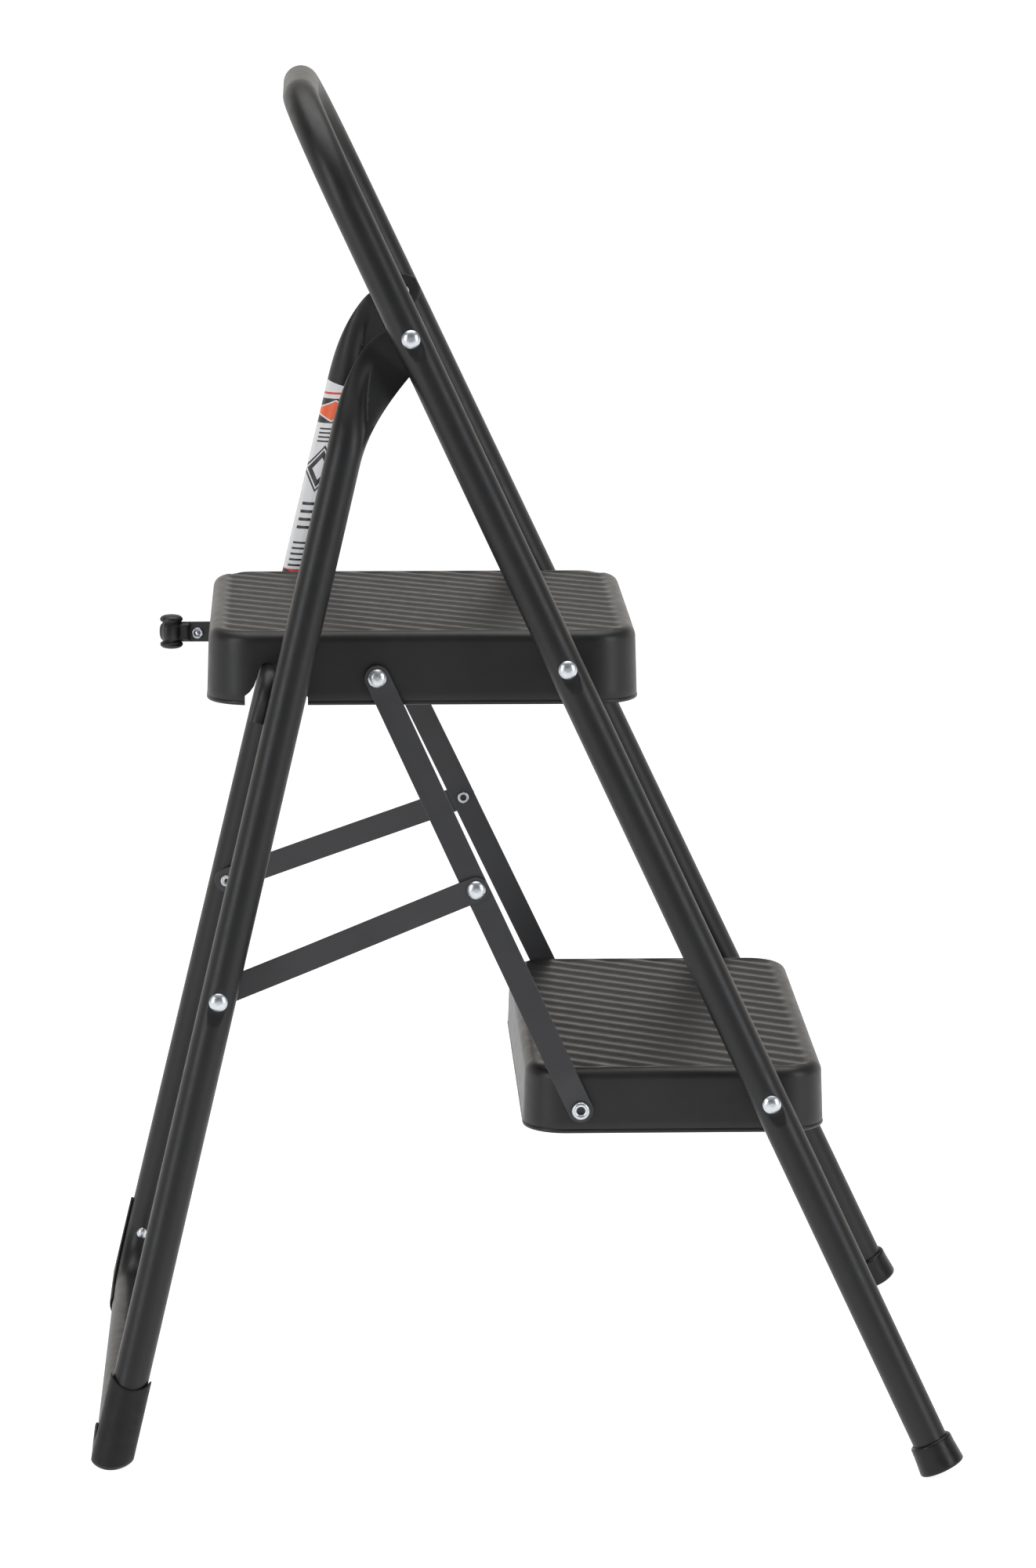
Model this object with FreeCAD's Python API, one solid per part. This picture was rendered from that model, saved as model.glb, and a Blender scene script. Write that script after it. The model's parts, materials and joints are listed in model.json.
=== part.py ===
import FreeCAD, Part
import math
import os
from FreeCAD import Vector, Rotation, Placement

# Folding two-step steel stool with a tall loop handle.
# Millimetres. +X is to the right of a person who faces the steps, +Z is up and the
# climbing side faces -Y. Outlines in the side plane are given as (u, z), where u grows
# towards the climbing side. Right-hand pieces are built first and mirrored in x = 0.

# Whole object
CENTRE_U = 234.87          # u of the middle of the footprint, which becomes y = 0
HALF_WIDTH = 219.6         # half distance between tube centre lines at floor level
FLARE = 0.1037             # what the half width loses per mm of height, both frames

# Tubes
TUBE_R = 11.1
TUBE_WALL = 1.2
SPOT_DEPTH = 0.9           # depth of the flat pressed into a tube under a rivet head
BOOT_RIVET_Z = 47.0
BOOT_RIVET_SEAT = 0.9      # how far a boot rivet head stands off the leg, which curves here
BOOT_SHANK_R = 2.4
THROUGH = 20.0             # reach of a hole's cutter to either side of a tube's centre line

# Front frame
FRONT_FOOT_U = 497.7       # centre line u at floor level
FRONT_LEAN = 0.4713        # u lost per mm of height
HANDLE_Z = 849.9
HANDLE_BEND = 78.0
TIP_FACE_Z = 5.6           # height of the centre of a rubber tip's sole
TIP_LENGTH = 19.5
TIP_TOP_R = 13.4
TIP_SOLE_R = 14.6
TIP_FLOOR = 6.0            # rubber under the tube's end

# Rear frame
REAR_FOOT_U = -28.0
REAR_LEAN = 0.2367
REAR_BAR_Z = 12.6          # centre line of the bottom run
REAR_BEND = 36.0
LEG_STRAIGHT_Z = 632.0     # the leg is round and straight up to here
EAR_THICK = 2.4
EAR_WIDTH = 33.1
EAR_OUTER_X = 133.6
EAR_END_R = 11.5
EAR_REACH = 20.0           # length of the flat part, back from the pivot
EAR_PINCH = 0.72           # share of the blend over which the tube loses its roundness
EAR_SPLAY = 0.14           # how far the blend leans outwards where it leaves the ear
EAR_DIR = Vector(0, -0.652, 0.758)

# Catch bar across the rear legs
BAR_U, BAR_Z = 77.0, 496.5
BAR_R = 6.35
BAR_WALL = 1.5
BAR_END_Z = 470.0
BAR_BEND = 14.0
WELD_BITE = 0.25           # how far the bar's ends reach into the legs

# Pivots in the side plane (u, z)
FRAME_PIVOT = (164.0, 708.2)
TOP_PIVOT = (260.0, 506.0)
LOW_PIVOT = (386.5, 236.6)
BRACE_OFFSET = (-117.0, -12.2)
LINK_SHARE = 0.484         # link pivot's place along the long brace
LINK_LEG_Z = 302.2         # link pivot's height on the rear leg

# Steps: rear u, front u, half width, top z, bottom z, plan corner radius
TOP_STEP = (37.9, 305.5, 130.9, 522.4, 476.3, 29.0)
LOW_STEP = (231.0, 421.6, 165.0, 249.9, 208.6, 27.0)
PAN_T = 1.2
BROW_R = 7.0
HEM = 3.4

# Straps
STRAP_W = 15.9
STRAP_T = 2.4
GAP = 0.3                  # side clearance between pieces that turn on each other

# Rivets
SHANK_R = 3.2
RUN_R = 3.26               # running hole over a shank
FIX_R = 3.22               # hole that grips a shank
HEAD_R = 5.75
HEAD_H = 2.8
TAIL_R = 3.85
TAIL_H = 1.8

# Latch
LATCH_PIVOT = (52.0, 504.5)
LATCH_T = 2.5
LATCH_PIN_R = 2.5
CHEEK_T = 1.5
PIN_REACH = 8.0            # from the lever's side to the outer side of a cheek
KNOB_RIVET = (28.9, 501.4)
KNOB_SHANK_R = 1.8

BIG = 2000.0


def point(x, u, z):
    return Vector(x, CENTRE_U - u, z)


def half_width(z):
    return HALF_WIDTH - FLARE * z


def front_point(z, side=1):
    return point(side * half_width(z), FRONT_FOOT_U - FRONT_LEAN * z, z)


def rear_point(z, side=1):
    return point(side * half_width(z), REAR_FOOT_U + REAR_LEAN * z, z)


def unit(v):
    return Vector(v).normalize()


def mirrored(shape):
    return shape.mirror(Vector(0, 0, 0), Vector(1, 0, 0))


def both(shape):
    return [shape, mirrored(shape)]


def rounded_path(corners, radii):
    """Wire of straight runs joined by tangent arcs."""
    edges = []
    start = corners[0]
    for before, corner, after, radius in zip(corners, corners[1:], corners[2:], radii):
        back, ahead = unit(before - corner), unit(after - corner)
        half = back.getAngle(ahead) / 2
        reach = radius / math.tan(half)
        middle = unit(back + ahead)
        centre = corner + middle * (radius / math.sin(half))
        first, last = corner + back * reach, corner + ahead * reach
        edges.append(Part.LineSegment(start, first).toShape())
        edges.append(Part.Arc(first, centre - middle * radius, last).toShape())
        start = last
    edges.append(Part.LineSegment(start, corners[-1]).toShape())
    return Part.Wire(edges)


def rod(path, radius):
    edge = path.Edges[0]
    begin = edge.valueAt(edge.FirstParameter)
    heading = edge.tangentAt(edge.FirstParameter)
    profile = Part.Wire(Part.makeCircle(radius, begin, heading))
    return path.makePipeShell([profile], True, False)


def lathe(outline, base, direction):
    """Solid of revolution from (radius, height) points; a tuple of four is an arc."""
    edges = []
    here = outline[0]
    for step in outline[1:]:
        end = step[-2:]
        start_v, end_v = Vector(here[0], 0, here[1]), Vector(end[0], 0, end[1])
        if len(step) == 4:
            edges.append(Part.Arc(start_v, Vector(step[0], 0, step[1]), end_v).toShape())
        else:
            edges.append(Part.LineSegment(start_v, end_v).toShape())
        here = end
    first = Vector(outline[0][0], 0, outline[0][1])
    edges.append(Part.LineSegment(Vector(here[0], 0, here[1]), first).toShape())
    solid = Part.Face(Part.Wire(edges)).revolve(Vector(0, 0, 0), Vector(0, 0, 1), 360)
    solid.Placement = Placement(base, Rotation(Vector(0, 0, 1), direction))
    return solid


def across(pivot, radius, x_from, x_to):
    """Cylinder along X through a point of the side plane."""
    return Part.makeCylinder(radius, x_to - x_from, point(x_from, *pivot), Vector(1, 0, 0))


def side_prism(outline, x_from, x_to):
    """Prism along X over a closed (u, z) outline; a tuple of four is an arc."""
    edges = []
    here = outline[0]
    for step in outline[1:]:
        end = step[-2:]
        if len(step) == 4:
            arc = Part.Arc(point(x_from, *here), point(x_from, *step[:2]), point(x_from, *end))
            edges.append(arc.toShape())
        else:
            edges.append(Part.LineSegment(point(x_from, *here), point(x_from, *end)).toShape())
        here = end
    edges.append(Part.LineSegment(point(x_from, *here), point(x_from, *outline[0])).toShape())
    return Part.Face(Part.Wire(edges)).extrude(Vector(x_to - x_from, 0, 0))


# ---------------------------------------------------------------- rivets

def domed_rivet(pivot, head_x, tail_x, head_r=HEAD_R, shank_r=SHANK_R):
    """Head's seat at head_x facing +X, rolled tail beyond tail_x."""
    grip = head_x - tail_x
    scale = head_r / HEAD_R
    outline = [(0, HEAD_H * scale),
               (head_r * 0.62, HEAD_H * scale * 0.78, head_r, 0.5),
               (head_r, 0),
               (shank_r, 0)]
    tail_r = shank_r + (TAIL_R - SHANK_R)
    outline += [(shank_r, -grip), (tail_r, -grip), (tail_r, -grip - TAIL_H + 0.5),
                (tail_r - 0.15, -grip - TAIL_H + 0.15, tail_r - 0.5, -grip - TAIL_H),
                (shank_r * 0.68, -grip - TAIL_H), (shank_r * 0.68, -grip - TAIL_H + 3.0),
                (0, -grip - TAIL_H + 3.6)]
    return lathe(outline, point(head_x, *pivot), Vector(1, 0, 0))


def rolled_rivet(pivot, ring_x, head_x):
    """Tubular rivet whose rolled ring sits at ring_x facing +X, head inside."""
    grip = ring_x - head_x
    bore = SHANK_R * 0.72
    outline = [(0, -grip * 0.5), (bore, -grip * 0.5), (bore, 1.0),
               (4.4, 2.5, HEAD_R, 1.1), (HEAD_R, 0), (SHANK_R, 0), (SHANK_R, -grip),
               (HEAD_R * 0.9, -grip), (HEAD_R * 0.9, -grip - 0.5),
               (3.8, -grip - 1.5, 1.6, -grip - 2.0), (0, -grip - 2.0)]
    return lathe(outline, point(ring_x, *pivot), Vector(1, 0, 0))


# ---------------------------------------------------------------- front frame

def tube_outer_x(z):
    """x of a tube's outermost line at a height, less the flat under a head."""
    return half_width(z) + TUBE_R - SPOT_DEPTH


def tube_inner_x(z):
    return half_width(z) - TUBE_R


def spot_cut(pivot):
    """What flattens the tube's outer side under a rivet head."""
    x = tube_outer_x(pivot[1])
    return across(pivot, 8.5, x, x + 6)


def front_axis(side=1):
    """Direction of a front tube, pointing down."""
    return unit(front_point(0, side) - front_point(100, side))


def front_frame_tube():
    axis = front_axis()
    sole = front_point(TIP_FACE_Z)
    end_r = sole - axis * TIP_FLOOR
    end_l = Vector(-end_r.x, end_r.y, end_r.z)
    corners = [end_r, front_point(HANDLE_Z), front_point(HANDLE_Z, -1), end_l]
    path = rounded_path(corners, [HANDLE_BEND, HANDLE_BEND])
    tube = rod(path, TUBE_R).cut(rod(path, TUBE_R - TUBE_WALL))
    for pivot in (FRAME_PIVOT, TOP_PIVOT, LOW_PIVOT):
        x = half_width(pivot[1])
        hole = across(pivot, FIX_R, x - THROUGH, x + THROUGH)
        for cutter in both(spot_cut(pivot)) + both(hole):
            tube = tube.cut(cutter)
    return tube


def foot_tip():
    axis = front_axis()
    sole = front_point(TIP_FACE_Z)
    edge = 1.6
    outline = [(0, 0), (TIP_SOLE_R - edge, 0),
               (TIP_SOLE_R - edge * 0.29, edge * 0.29, TIP_SOLE_R, edge),
               (TIP_TOP_R, TIP_LENGTH - 0.8), (TIP_TOP_R - 0.8, TIP_LENGTH),
               (TUBE_R + 0.03, TIP_LENGTH), (TUBE_R + 0.03, TIP_FLOOR), (0, TIP_FLOOR)]
    tip = lathe(outline, sole, axis * -1)
    floor = Part.makeBox(BIG, BIG, 50, Vector(-BIG / 2, -BIG / 2, -50))
    return tip.cut(floor)


def frame_pivot_rivet():
    return domed_rivet(FRAME_PIVOT, tube_outer_x(FRAME_PIVOT[1]),
                       EAR_OUTER_X - EAR_THICK - GAP)


def step_pivot_rivet(pivot, step_half):
    return domed_rivet(pivot, tube_outer_x(pivot[1]), step_half - PAN_T - GAP)


def pivot_spacer(pivot, step_half):
    """Sleeve that fills the space between the front tube and a step's side."""
    radius, clearance = 4.5, 0.55
    inner, outer = step_half + GAP, tube_inner_x(pivot[1]) - clearance
    sleeve = across(pivot, radius, inner, outer)
    return sleeve.cut(across(pivot, FIX_R, inner - 1, outer + 1))


# ---------------------------------------------------------------- rear frame

def flat_oval(centre, heading, width, thick, power):
    """Closed section: superellipse, thin along X, wide in the side plane."""
    wide = unit(heading.cross(Vector(1, 0, 0)))
    thin = unit(wide.cross(heading))
    if power == 2:
        circle = Part.makeCircle(thick / 2)
        circle.Placement = Placement(centre, Rotation(thin, wide, heading, "ZXY"))
        return Part.Wire(circle)
    points = []
    count = 24
    for i in range(count):
        a = 2 * math.pi * i / count
        c, s = math.cos(a), math.sin(a)
        dx = math.copysign(abs(c) ** (2 / power), c) * thick / 2
        dw = math.copysign(abs(s) ** (2 / power), s) * width / 2
        points.append(centre + thin * dx + wide * dw)
    curve = Part.BSplineCurve()
    curve.interpolate(points, PeriodicFlag=True)
    return Part.Wire(curve.toShape())


def ear_blend():
    """Loft from the round leg to the flattened ear."""
    start = rear_point(LEG_STRAIGHT_Z)
    heading0 = unit(rear_point(LEG_STRAIGHT_Z + 1) - start)
    pivot = point(EAR_OUTER_X - EAR_THICK / 2, *FRAME_PIVOT)
    end = pivot - EAR_DIR * EAR_REACH
    arrival = EAR_DIR - Vector(EAR_SPLAY, 0, 0)
    span = (end - start).Length
    sections = []
    for i in range(6):
        t = i / 5
        h00, h10 = 2 * t**3 - 3 * t**2 + 1, t**3 - 2 * t**2 + t
        h01, h11 = -2 * t**3 + 3 * t**2, t**3 - t**2
        centre = (start * h00 + heading0 * (h10 * span) + end * h01 + arrival * (h11 * span))
        turn = t * t * (3 - 2 * t)
        pinch = min(1.0, t / EAR_PINCH)
        pinch = pinch * pinch * (3 - 2 * pinch)
        heading = unit(heading0 * (1 - turn) + EAR_DIR * turn)
        width = 2 * TUBE_R + (EAR_WIDTH - 2 * TUBE_R) * turn
        thick = 2 * TUBE_R + (EAR_THICK - 2 * TUBE_R) * pinch
        sections.append(flat_oval(centre, heading, width, thick, 2 + 2 * pinch))
    return Part.makeLoft(sections, True, False)


def ear_plate():
    wide = (EAR_DIR.z, EAR_DIR.y)
    along = (-EAR_DIR.y, EAR_DIR.z)
    half = EAR_WIDTH / 2

    def place(k, w):
        """k back from the pivot along the ear, w across it."""
        return (FRAME_PIVOT[0] - along[0] * k + wide[0] * w,
                FRAME_PIVOT[1] - along[1] * k + wide[1] * w)

    reach = math.hypot(EAR_REACH, half)
    turn = math.atan2(half, EAR_REACH) + math.acos(EAR_END_R / reach)
    touch = (EAR_END_R * math.cos(turn), EAR_END_R * math.sin(turn))
    outline = [place(EAR_REACH, half), place(*touch),
               place(-EAR_END_R, 0) + place(touch[0], -touch[1]), place(EAR_REACH, -half)]
    return side_prism(outline, EAR_OUTER_X - EAR_THICK, EAR_OUTER_X)


def link_leg_pivot():
    return (REAR_FOOT_U + REAR_LEAN * LINK_LEG_Z, LINK_LEG_Z)


def boot_rivet_place():
    return (REAR_FOOT_U + REAR_LEAN * BOOT_RIVET_Z, BOOT_RIVET_Z)


def rear_path():
    corners = [rear_point(LEG_STRAIGHT_Z), rear_point(REAR_BAR_Z),
               rear_point(REAR_BAR_Z, -1), rear_point(LEG_STRAIGHT_Z, -1)]
    return rounded_path(corners, [REAR_BEND, REAR_BEND])


def rear_frame_tube():
    path = rear_path()
    frame = rod(path, TUBE_R).cut(rod(path, TUBE_R - TUBE_WALL))
    for piece in both(ear_blend()) + both(ear_plate()):
        frame = frame.fuse(piece)
    link = link_leg_pivot()
    boot = boot_rivet_place()
    x_link, x_boot = half_width(link[1]), half_width(boot[1])
    cutters = both(across(FRAME_PIVOT, RUN_R, EAR_OUTER_X - THROUGH, EAR_OUTER_X + THROUGH))
    cutters += both(across(link, FIX_R, x_link - THROUGH, x_link + THROUGH))
    cutters += both(spot_cut(link))
    cutters += both(across(boot, BOOT_SHANK_R + 0.02, x_boot - THROUGH, x_boot + THROUGH))
    for cutter in cutters:
        frame = frame.cut(cutter)
    return frame


def catch_bar():
    """Round tube across the rear legs, its ends turned down and welded to them."""
    down = unit(rear_point(0) - rear_point(100))
    leg_u = REAR_FOOT_U + REAR_LEAN * BAR_Z
    back = leg_u - BAR_U
    inward = math.sqrt((TUBE_R + BAR_R - WELD_BITE) ** 2 - back ** 2)
    corner = point(half_width(BAR_Z) - inward, BAR_U, BAR_Z)
    tail = corner + down * ((BAR_Z - BAR_END_Z) / abs(down.z))
    corners = [tail, corner, Vector(-corner.x, corner.y, corner.z),
               Vector(-tail.x, tail.y, tail.z)]
    path = rounded_path(corners, [BAR_BEND, BAR_BEND])
    bar = rod(path, BAR_R).cut(rod(path, BAR_R - BAR_WALL))
    leg = rod(Part.Wire(Part.LineSegment(rear_point(400), rear_point(600)).toShape()), TUBE_R)
    return bar.cut(leg).cut(mirrored(leg))


def rear_boot():
    """Moulded channel over the outer side and the underside of a bottom bend."""
    outer_r, inner_r = TUBE_R + 1.9, TUBE_R + 0.05
    leg_top, run = 68.0, 74.0
    corner = rear_point(REAR_BAR_Z)
    corners = [rear_point(leg_top), corner, corner - Vector(run, 0, 0)]
    path = rounded_path(corners, [REAR_BEND])
    start = corners[0]
    heading = unit(corners[1] - corners[0])
    out = unit(Vector(1, 0, 0) - heading * heading.x)
    side = unit(heading.cross(out))

    def at(radius, degrees):
        a = math.radians(degrees)
        return start + out * (radius * math.cos(a)) + side * (radius * math.sin(a))

    lip = 97
    edges = [Part.Arc(at(outer_r, -lip), at(outer_r, 0), at(outer_r, lip)).toShape(),
             Part.LineSegment(at(outer_r, lip), at(inner_r, lip)).toShape(),
             Part.Arc(at(inner_r, lip), at(inner_r, 0), at(inner_r, -lip)).toShape(),
             Part.LineSegment(at(inner_r, -lip), at(outer_r, -lip)).toShape()]
    boot = path.makePipeShell([Part.Wire(edges)], True, False)
    dip_r = 16.0
    dip_centre = rear_point(leg_top + 8.5)
    boot = boot.cut(Part.makeCylinder(dip_r, 2 * THROUGH, dip_centre, Vector(1, 0, 0)))
    rivet = boot_rivet_place()
    x = half_width(rivet[1])
    boot = boot.cut(across(rivet, BOOT_SHANK_R + 0.02, x - THROUGH, x + THROUGH))
    floor = Part.makeBox(BIG, BIG, 50, Vector(-BIG / 2, -BIG / 2, -50))
    return boot.cut(floor)


def boot_rivet():
    """Head on the leg's inner side, shank through the leg into the boot."""
    pivot = boot_rivet_place()
    x = half_width(pivot[1])
    grip = 2 * TUBE_R + 1.9
    outline = [(0, 1.8), (2.4, 1.4, 3.8, 0.3), (3.8, 0), (BOOT_SHANK_R, 0),
               (BOOT_SHANK_R, -grip), (0, -grip)]
    return lathe(outline, point(x - TUBE_R - BOOT_RIVET_SEAT, *pivot), Vector(-1, 0, 0))


def leg_label():
    """Thin blank label wrapped on the inner side of the right rear leg."""
    film, width = 0.2, 18.4
    low, high = rear_point(517), rear_point(630)
    path = Part.Wire(Part.LineSegment(low, high).toShape())
    ring = rod(path, TUBE_R + film).cut(rod(path, TUBE_R + 0.01))
    middle = (low + high) * 0.5
    keep = Part.makeBox(30, width, 200, middle - Vector(30, width / 2, 100))
    lean = math.degrees(math.atan(REAR_LEAN))
    keep.rotate(middle, Vector(1, 0, 0), lean)
    return ring.common(keep)


def link_leg_rivet():
    """Head outside the leg; the shank ends flush with the leg's inner side."""
    pivot = link_leg_pivot()
    head_x = tube_outer_x(pivot[1])
    grip = head_x - (tube_inner_x(pivot[1]) + 0.1)
    outline = [(0, HEAD_H), (HEAD_R * 0.62, HEAD_H * 0.78, HEAD_R, 0.5), (HEAD_R, 0),
               (SHANK_R, 0), (SHANK_R, -grip), (0, -grip)]
    return lathe(outline, point(head_x, *pivot), Vector(1, 0, 0))


# ---------------------------------------------------------------- steps

def rounded_block(rear, front, half, bottom, top, corner, brow):
    """Box with rounded plan corners and, where brow is given, a rounded top edge."""
    block = Part.makeBox(2 * half, front - rear, top - bottom, point(-half, front, bottom))
    upright = [e for e in block.Edges if abs(e.tangentAt(e.FirstParameter).z) > 0.99]
    block = block.makeFillet(corner, upright)
    if brow:
        rim = [e for e in block.Edges
               if all(abs(v.Point.z - top) < 1e-6 for v in e.Vertexes)]
        block = block.makeFillet(brow, rim)
    return block


def pan_shell(step):
    """Drawn steel tray, open below, with a rolled hem round its bottom edge."""
    rear, front, half, top, bottom, corner = step
    shell = rounded_block(rear, front, half, bottom, top, corner, BROW_R)
    inside = rounded_block(rear + PAN_T, front - PAN_T, half - PAN_T, bottom - 1,
                           top - PAN_T, corner - PAN_T, BROW_R - PAN_T)
    shell = shell.cut(inside)
    hem = rounded_block(rear + 0.6, front - 0.6, half - 0.6, bottom, bottom + HEM,
                        corner - 0.6, 0)
    hem = hem.cut(rounded_block(rear + HEM, front - HEM, half - HEM, bottom - 1,
                                bottom + HEM + 1, corner - HEM, 0))
    return shell.fuse(hem).removeSplitter()


def side_holes(shape, step, pivots):
    half = step[2]
    for pivot, radius in pivots:
        for hole in both(across(pivot, radius, half - 10, half + 10)):
            shape = shape.cut(hole)
    return shape


def brace_ends():
    top = (TOP_PIVOT[0] + BRACE_OFFSET[0], TOP_PIVOT[1] + BRACE_OFFSET[1])
    low = (LOW_PIVOT[0] + BRACE_OFFSET[0], LOW_PIVOT[1] + BRACE_OFFSET[1])
    return top, low


def brace_link_pivot():
    top, low = brace_ends()
    return tuple(a + (b - a) * LINK_SHARE for a, b in zip(top, low))


def bar_notch():
    """Opening in a side skirt that drops over the catch bar."""
    bottom = TOP_STEP[4]
    return [(60.5, bottom - 1), (60.5, 482.4), (65.0, 486.7), (66.5, 497.0),
            (68.3, 501.6, 72.5, 503.15), (82.0, 503.15), (86.0, 501.8, 88.0, 498.6),
            (99.7, 481.5), (99.7, bottom - 1)]


def top_step_pan():
    pan = pan_shell(TOP_STEP)
    brace_pivot, _ = brace_ends()
    pan = side_holes(pan, TOP_STEP, [(TOP_PIVOT, RUN_R), (brace_pivot, FIX_R)])
    half = TOP_STEP[2]
    for notch in both(side_prism(bar_notch(), half - 8, half + 8)):
        pan = pan.cut(notch)
    slot_half, slot_low, slot_high = 4.0, 493.0, 513.5
    rear = TOP_STEP[0]
    slot = Part.makeBox(2 * slot_half, 12, slot_high - slot_low,
                        point(-slot_half, rear + 6, slot_low))
    return pan.cut(slot)


def lower_step_pan():
    _, brace_pivot = brace_ends()
    return side_holes(pan_shell(LOW_STEP), LOW_STEP,
                      [(LOW_PIVOT, RUN_R), (brace_pivot, FIX_R)])


def stiffener(step, u_middle):
    """Hat-section rib spot-welded across the underside of a tread."""
    half = step[2] - PAN_T - 6.0
    top = step[3] - PAN_T
    depth, crown, flange, sheet = 14.0, 30.0, 12.0, 1.2
    hat = Part.makeBox(2 * half, crown, depth, point(-half, u_middle + crown / 2, top - depth))
    hollow = Part.makeBox(2 * half + 2, crown - 2 * sheet, depth,
                          point(-half - 1, u_middle + crown / 2 - sheet, top - depth + sheet))
    hat = hat.cut(hollow)
    for u_edge in (u_middle + crown / 2 + flange, u_middle - crown / 2):
        hat = hat.fuse(Part.makeBox(2 * half, flange, sheet, point(-half, u_edge, top - sheet)))
    return hat.removeSplitter()


# ---------------------------------------------------------------- straps

def strap(begin, end, profile, holes):
    """Flat strap with round ends; profile gives (share of length, inner x) bends."""
    run_u, run_z = end[0] - begin[0], end[1] - begin[1]
    length = math.hypot(run_u, run_z)
    along = Vector(0, -run_u / length, run_z / length)
    across_v = Vector(1, 0, 0).cross(along)
    half = STRAP_W / 2
    start = point(0, *begin)

    def spot(distance, x):
        return start + along * distance + Vector(x, 0, 0) - across_v * half

    inner = [spot(share * length, x) for share, x in profile]
    outer = [spot(share * length, x + STRAP_T) for share, x in reversed(profile)]
    ring = inner + outer + [inner[0]]
    plate = Part.Face(Part.makePolygon(ring)).extrude(across_v * STRAP_W)
    side = across_v * half
    reach = 400.0              # past every strap's outer side

    def corner(base, sign):
        return base + side * sign

    finish = point(0, *end)
    tip = Part.Arc(corner(finish, 1), finish + along * half, corner(finish, -1)).toShape()
    heel = Part.Arc(corner(start, -1), start - along * half, corner(start, 1)).toShape()
    edges = [Part.LineSegment(corner(start, 1), corner(finish, 1)).toShape(), tip,
             Part.LineSegment(corner(finish, -1), corner(start, -1)).toShape(), heel]
    blank = Part.Face(Part.Wire(edges)).extrude(Vector(reach, 0, 0))
    plate = plate.common(blank)
    for pivot, radius in holes:
        plate = plate.cut(across(pivot, radius, 0, reach))
    return plate


BRACE_TOP_X = TOP_STEP[2] + GAP
BRACE_LINK_X = 151.0
BRACE_LOW_X = LOW_STEP[2] + GAP
LINK_BRACE_X = BRACE_LINK_X + STRAP_T + GAP


def link_leg_x():
    return tube_inner_x(LINK_LEG_Z) - 1.5 - STRAP_T


def long_brace():
    top, low = brace_ends()
    length = math.hypot(low[0] - top[0], low[1] - top[1])
    flat, mid = 12 / length, 13 / length
    profile = [(-10 / length, BRACE_TOP_X), (flat, BRACE_TOP_X),
               (LINK_SHARE - mid, BRACE_LINK_X), (LINK_SHARE + mid, BRACE_LINK_X),
               (1 - 24 / length, BRACE_LOW_X), (1 + 10 / length, BRACE_LOW_X)]
    return strap(top, low, profile, [(top, RUN_R), (low, RUN_R), (brace_link_pivot(), FIX_R)])


def short_link():
    leg, brace = link_leg_pivot(), brace_link_pivot()
    length = math.hypot(brace[0] - leg[0], brace[1] - leg[1])
    x = link_leg_x()
    first, second = 9.0, 60.0
    profile = [(-10 / length, x), (first / length, x),
               (second / length, x - 0.105 * (second - first)),
               (1 - 8.5 / length, LINK_BRACE_X), (1 + 10 / length, LINK_BRACE_X)]
    return strap(leg, brace, profile, [(leg, FIX_R), (brace, RUN_R)])


def brace_top_rivet():
    top, _ = brace_ends()
    return domed_rivet(top, BRACE_TOP_X + STRAP_T + GAP, TOP_STEP[2] - PAN_T - 0.02)


def brace_low_rivet():
    _, low = brace_ends()
    return rolled_rivet(low, BRACE_LOW_X + STRAP_T + GAP, LOW_STEP[2] - PAN_T - 0.02)


def brace_link_rivet():
    return domed_rivet(brace_link_pivot(), LINK_BRACE_X + STRAP_T + GAP, BRACE_LINK_X - 0.02)


def link_tail_button():
    """Rolled rivet tail held in the link's lower end."""
    pivot = link_leg_pivot()
    outer = link_leg_x() + STRAP_T + 0.4
    grip = outer - (link_leg_x() - 0.02)
    outline = [(0, 0), (SHANK_R, 0), (SHANK_R, -grip), (TAIL_R, -grip),
               (TAIL_R, -grip - TAIL_H + 0.5),
               (TAIL_R - 0.15, -grip - TAIL_H + 0.15, TAIL_R - 0.5, -grip - TAIL_H),
               (2.2, -grip - TAIL_H), (2.2, -grip - 0.2), (0, -grip + 0.4)]
    return lathe(outline, point(outer, *pivot), Vector(1, 0, 0))


# ---------------------------------------------------------------- latch

def latch_lever():
    """Flat lever: tang for the knob behind, hook under the catch bar in front."""
    outline = [(9.0, 496.4), (10.8, 495.7), (44.0, 495.7), (56.0, 492.5), (62.5, 486.4),
               (66.4, 484.0), (73.2, 483.6), (75.0, 485.0, 74.7, 486.9), (71.2, 490.6),
               (69.2, 494.4, 68.6, 499.0), (67.4, 504.6), (61.4, 509.6, 53.5, 511.0),
               (46.5, 510.2, 42.0, 508.5), (10.8, 508.5), (9.0, 507.8)]
    lever = side_prism(outline, -LATCH_T / 2, LATCH_T / 2)
    lever = lever.cut(across(LATCH_PIVOT, LATCH_PIN_R + 0.06, -10, 10))
    return lever.cut(across(KNOB_RIVET, KNOB_SHANK_R + 0.02, -10, 10))


def latch_pin():
    reach = LATCH_T / 2 + PIN_REACH
    head_r, head_h = 3.6, 1.2
    pin = across(LATCH_PIVOT, LATCH_PIN_R, -reach - head_h, reach + head_h)
    for head in both(across(LATCH_PIVOT, head_r, reach, reach + head_h)):
        pin = pin.fuse(head)
    return pin.removeSplitter()


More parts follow.
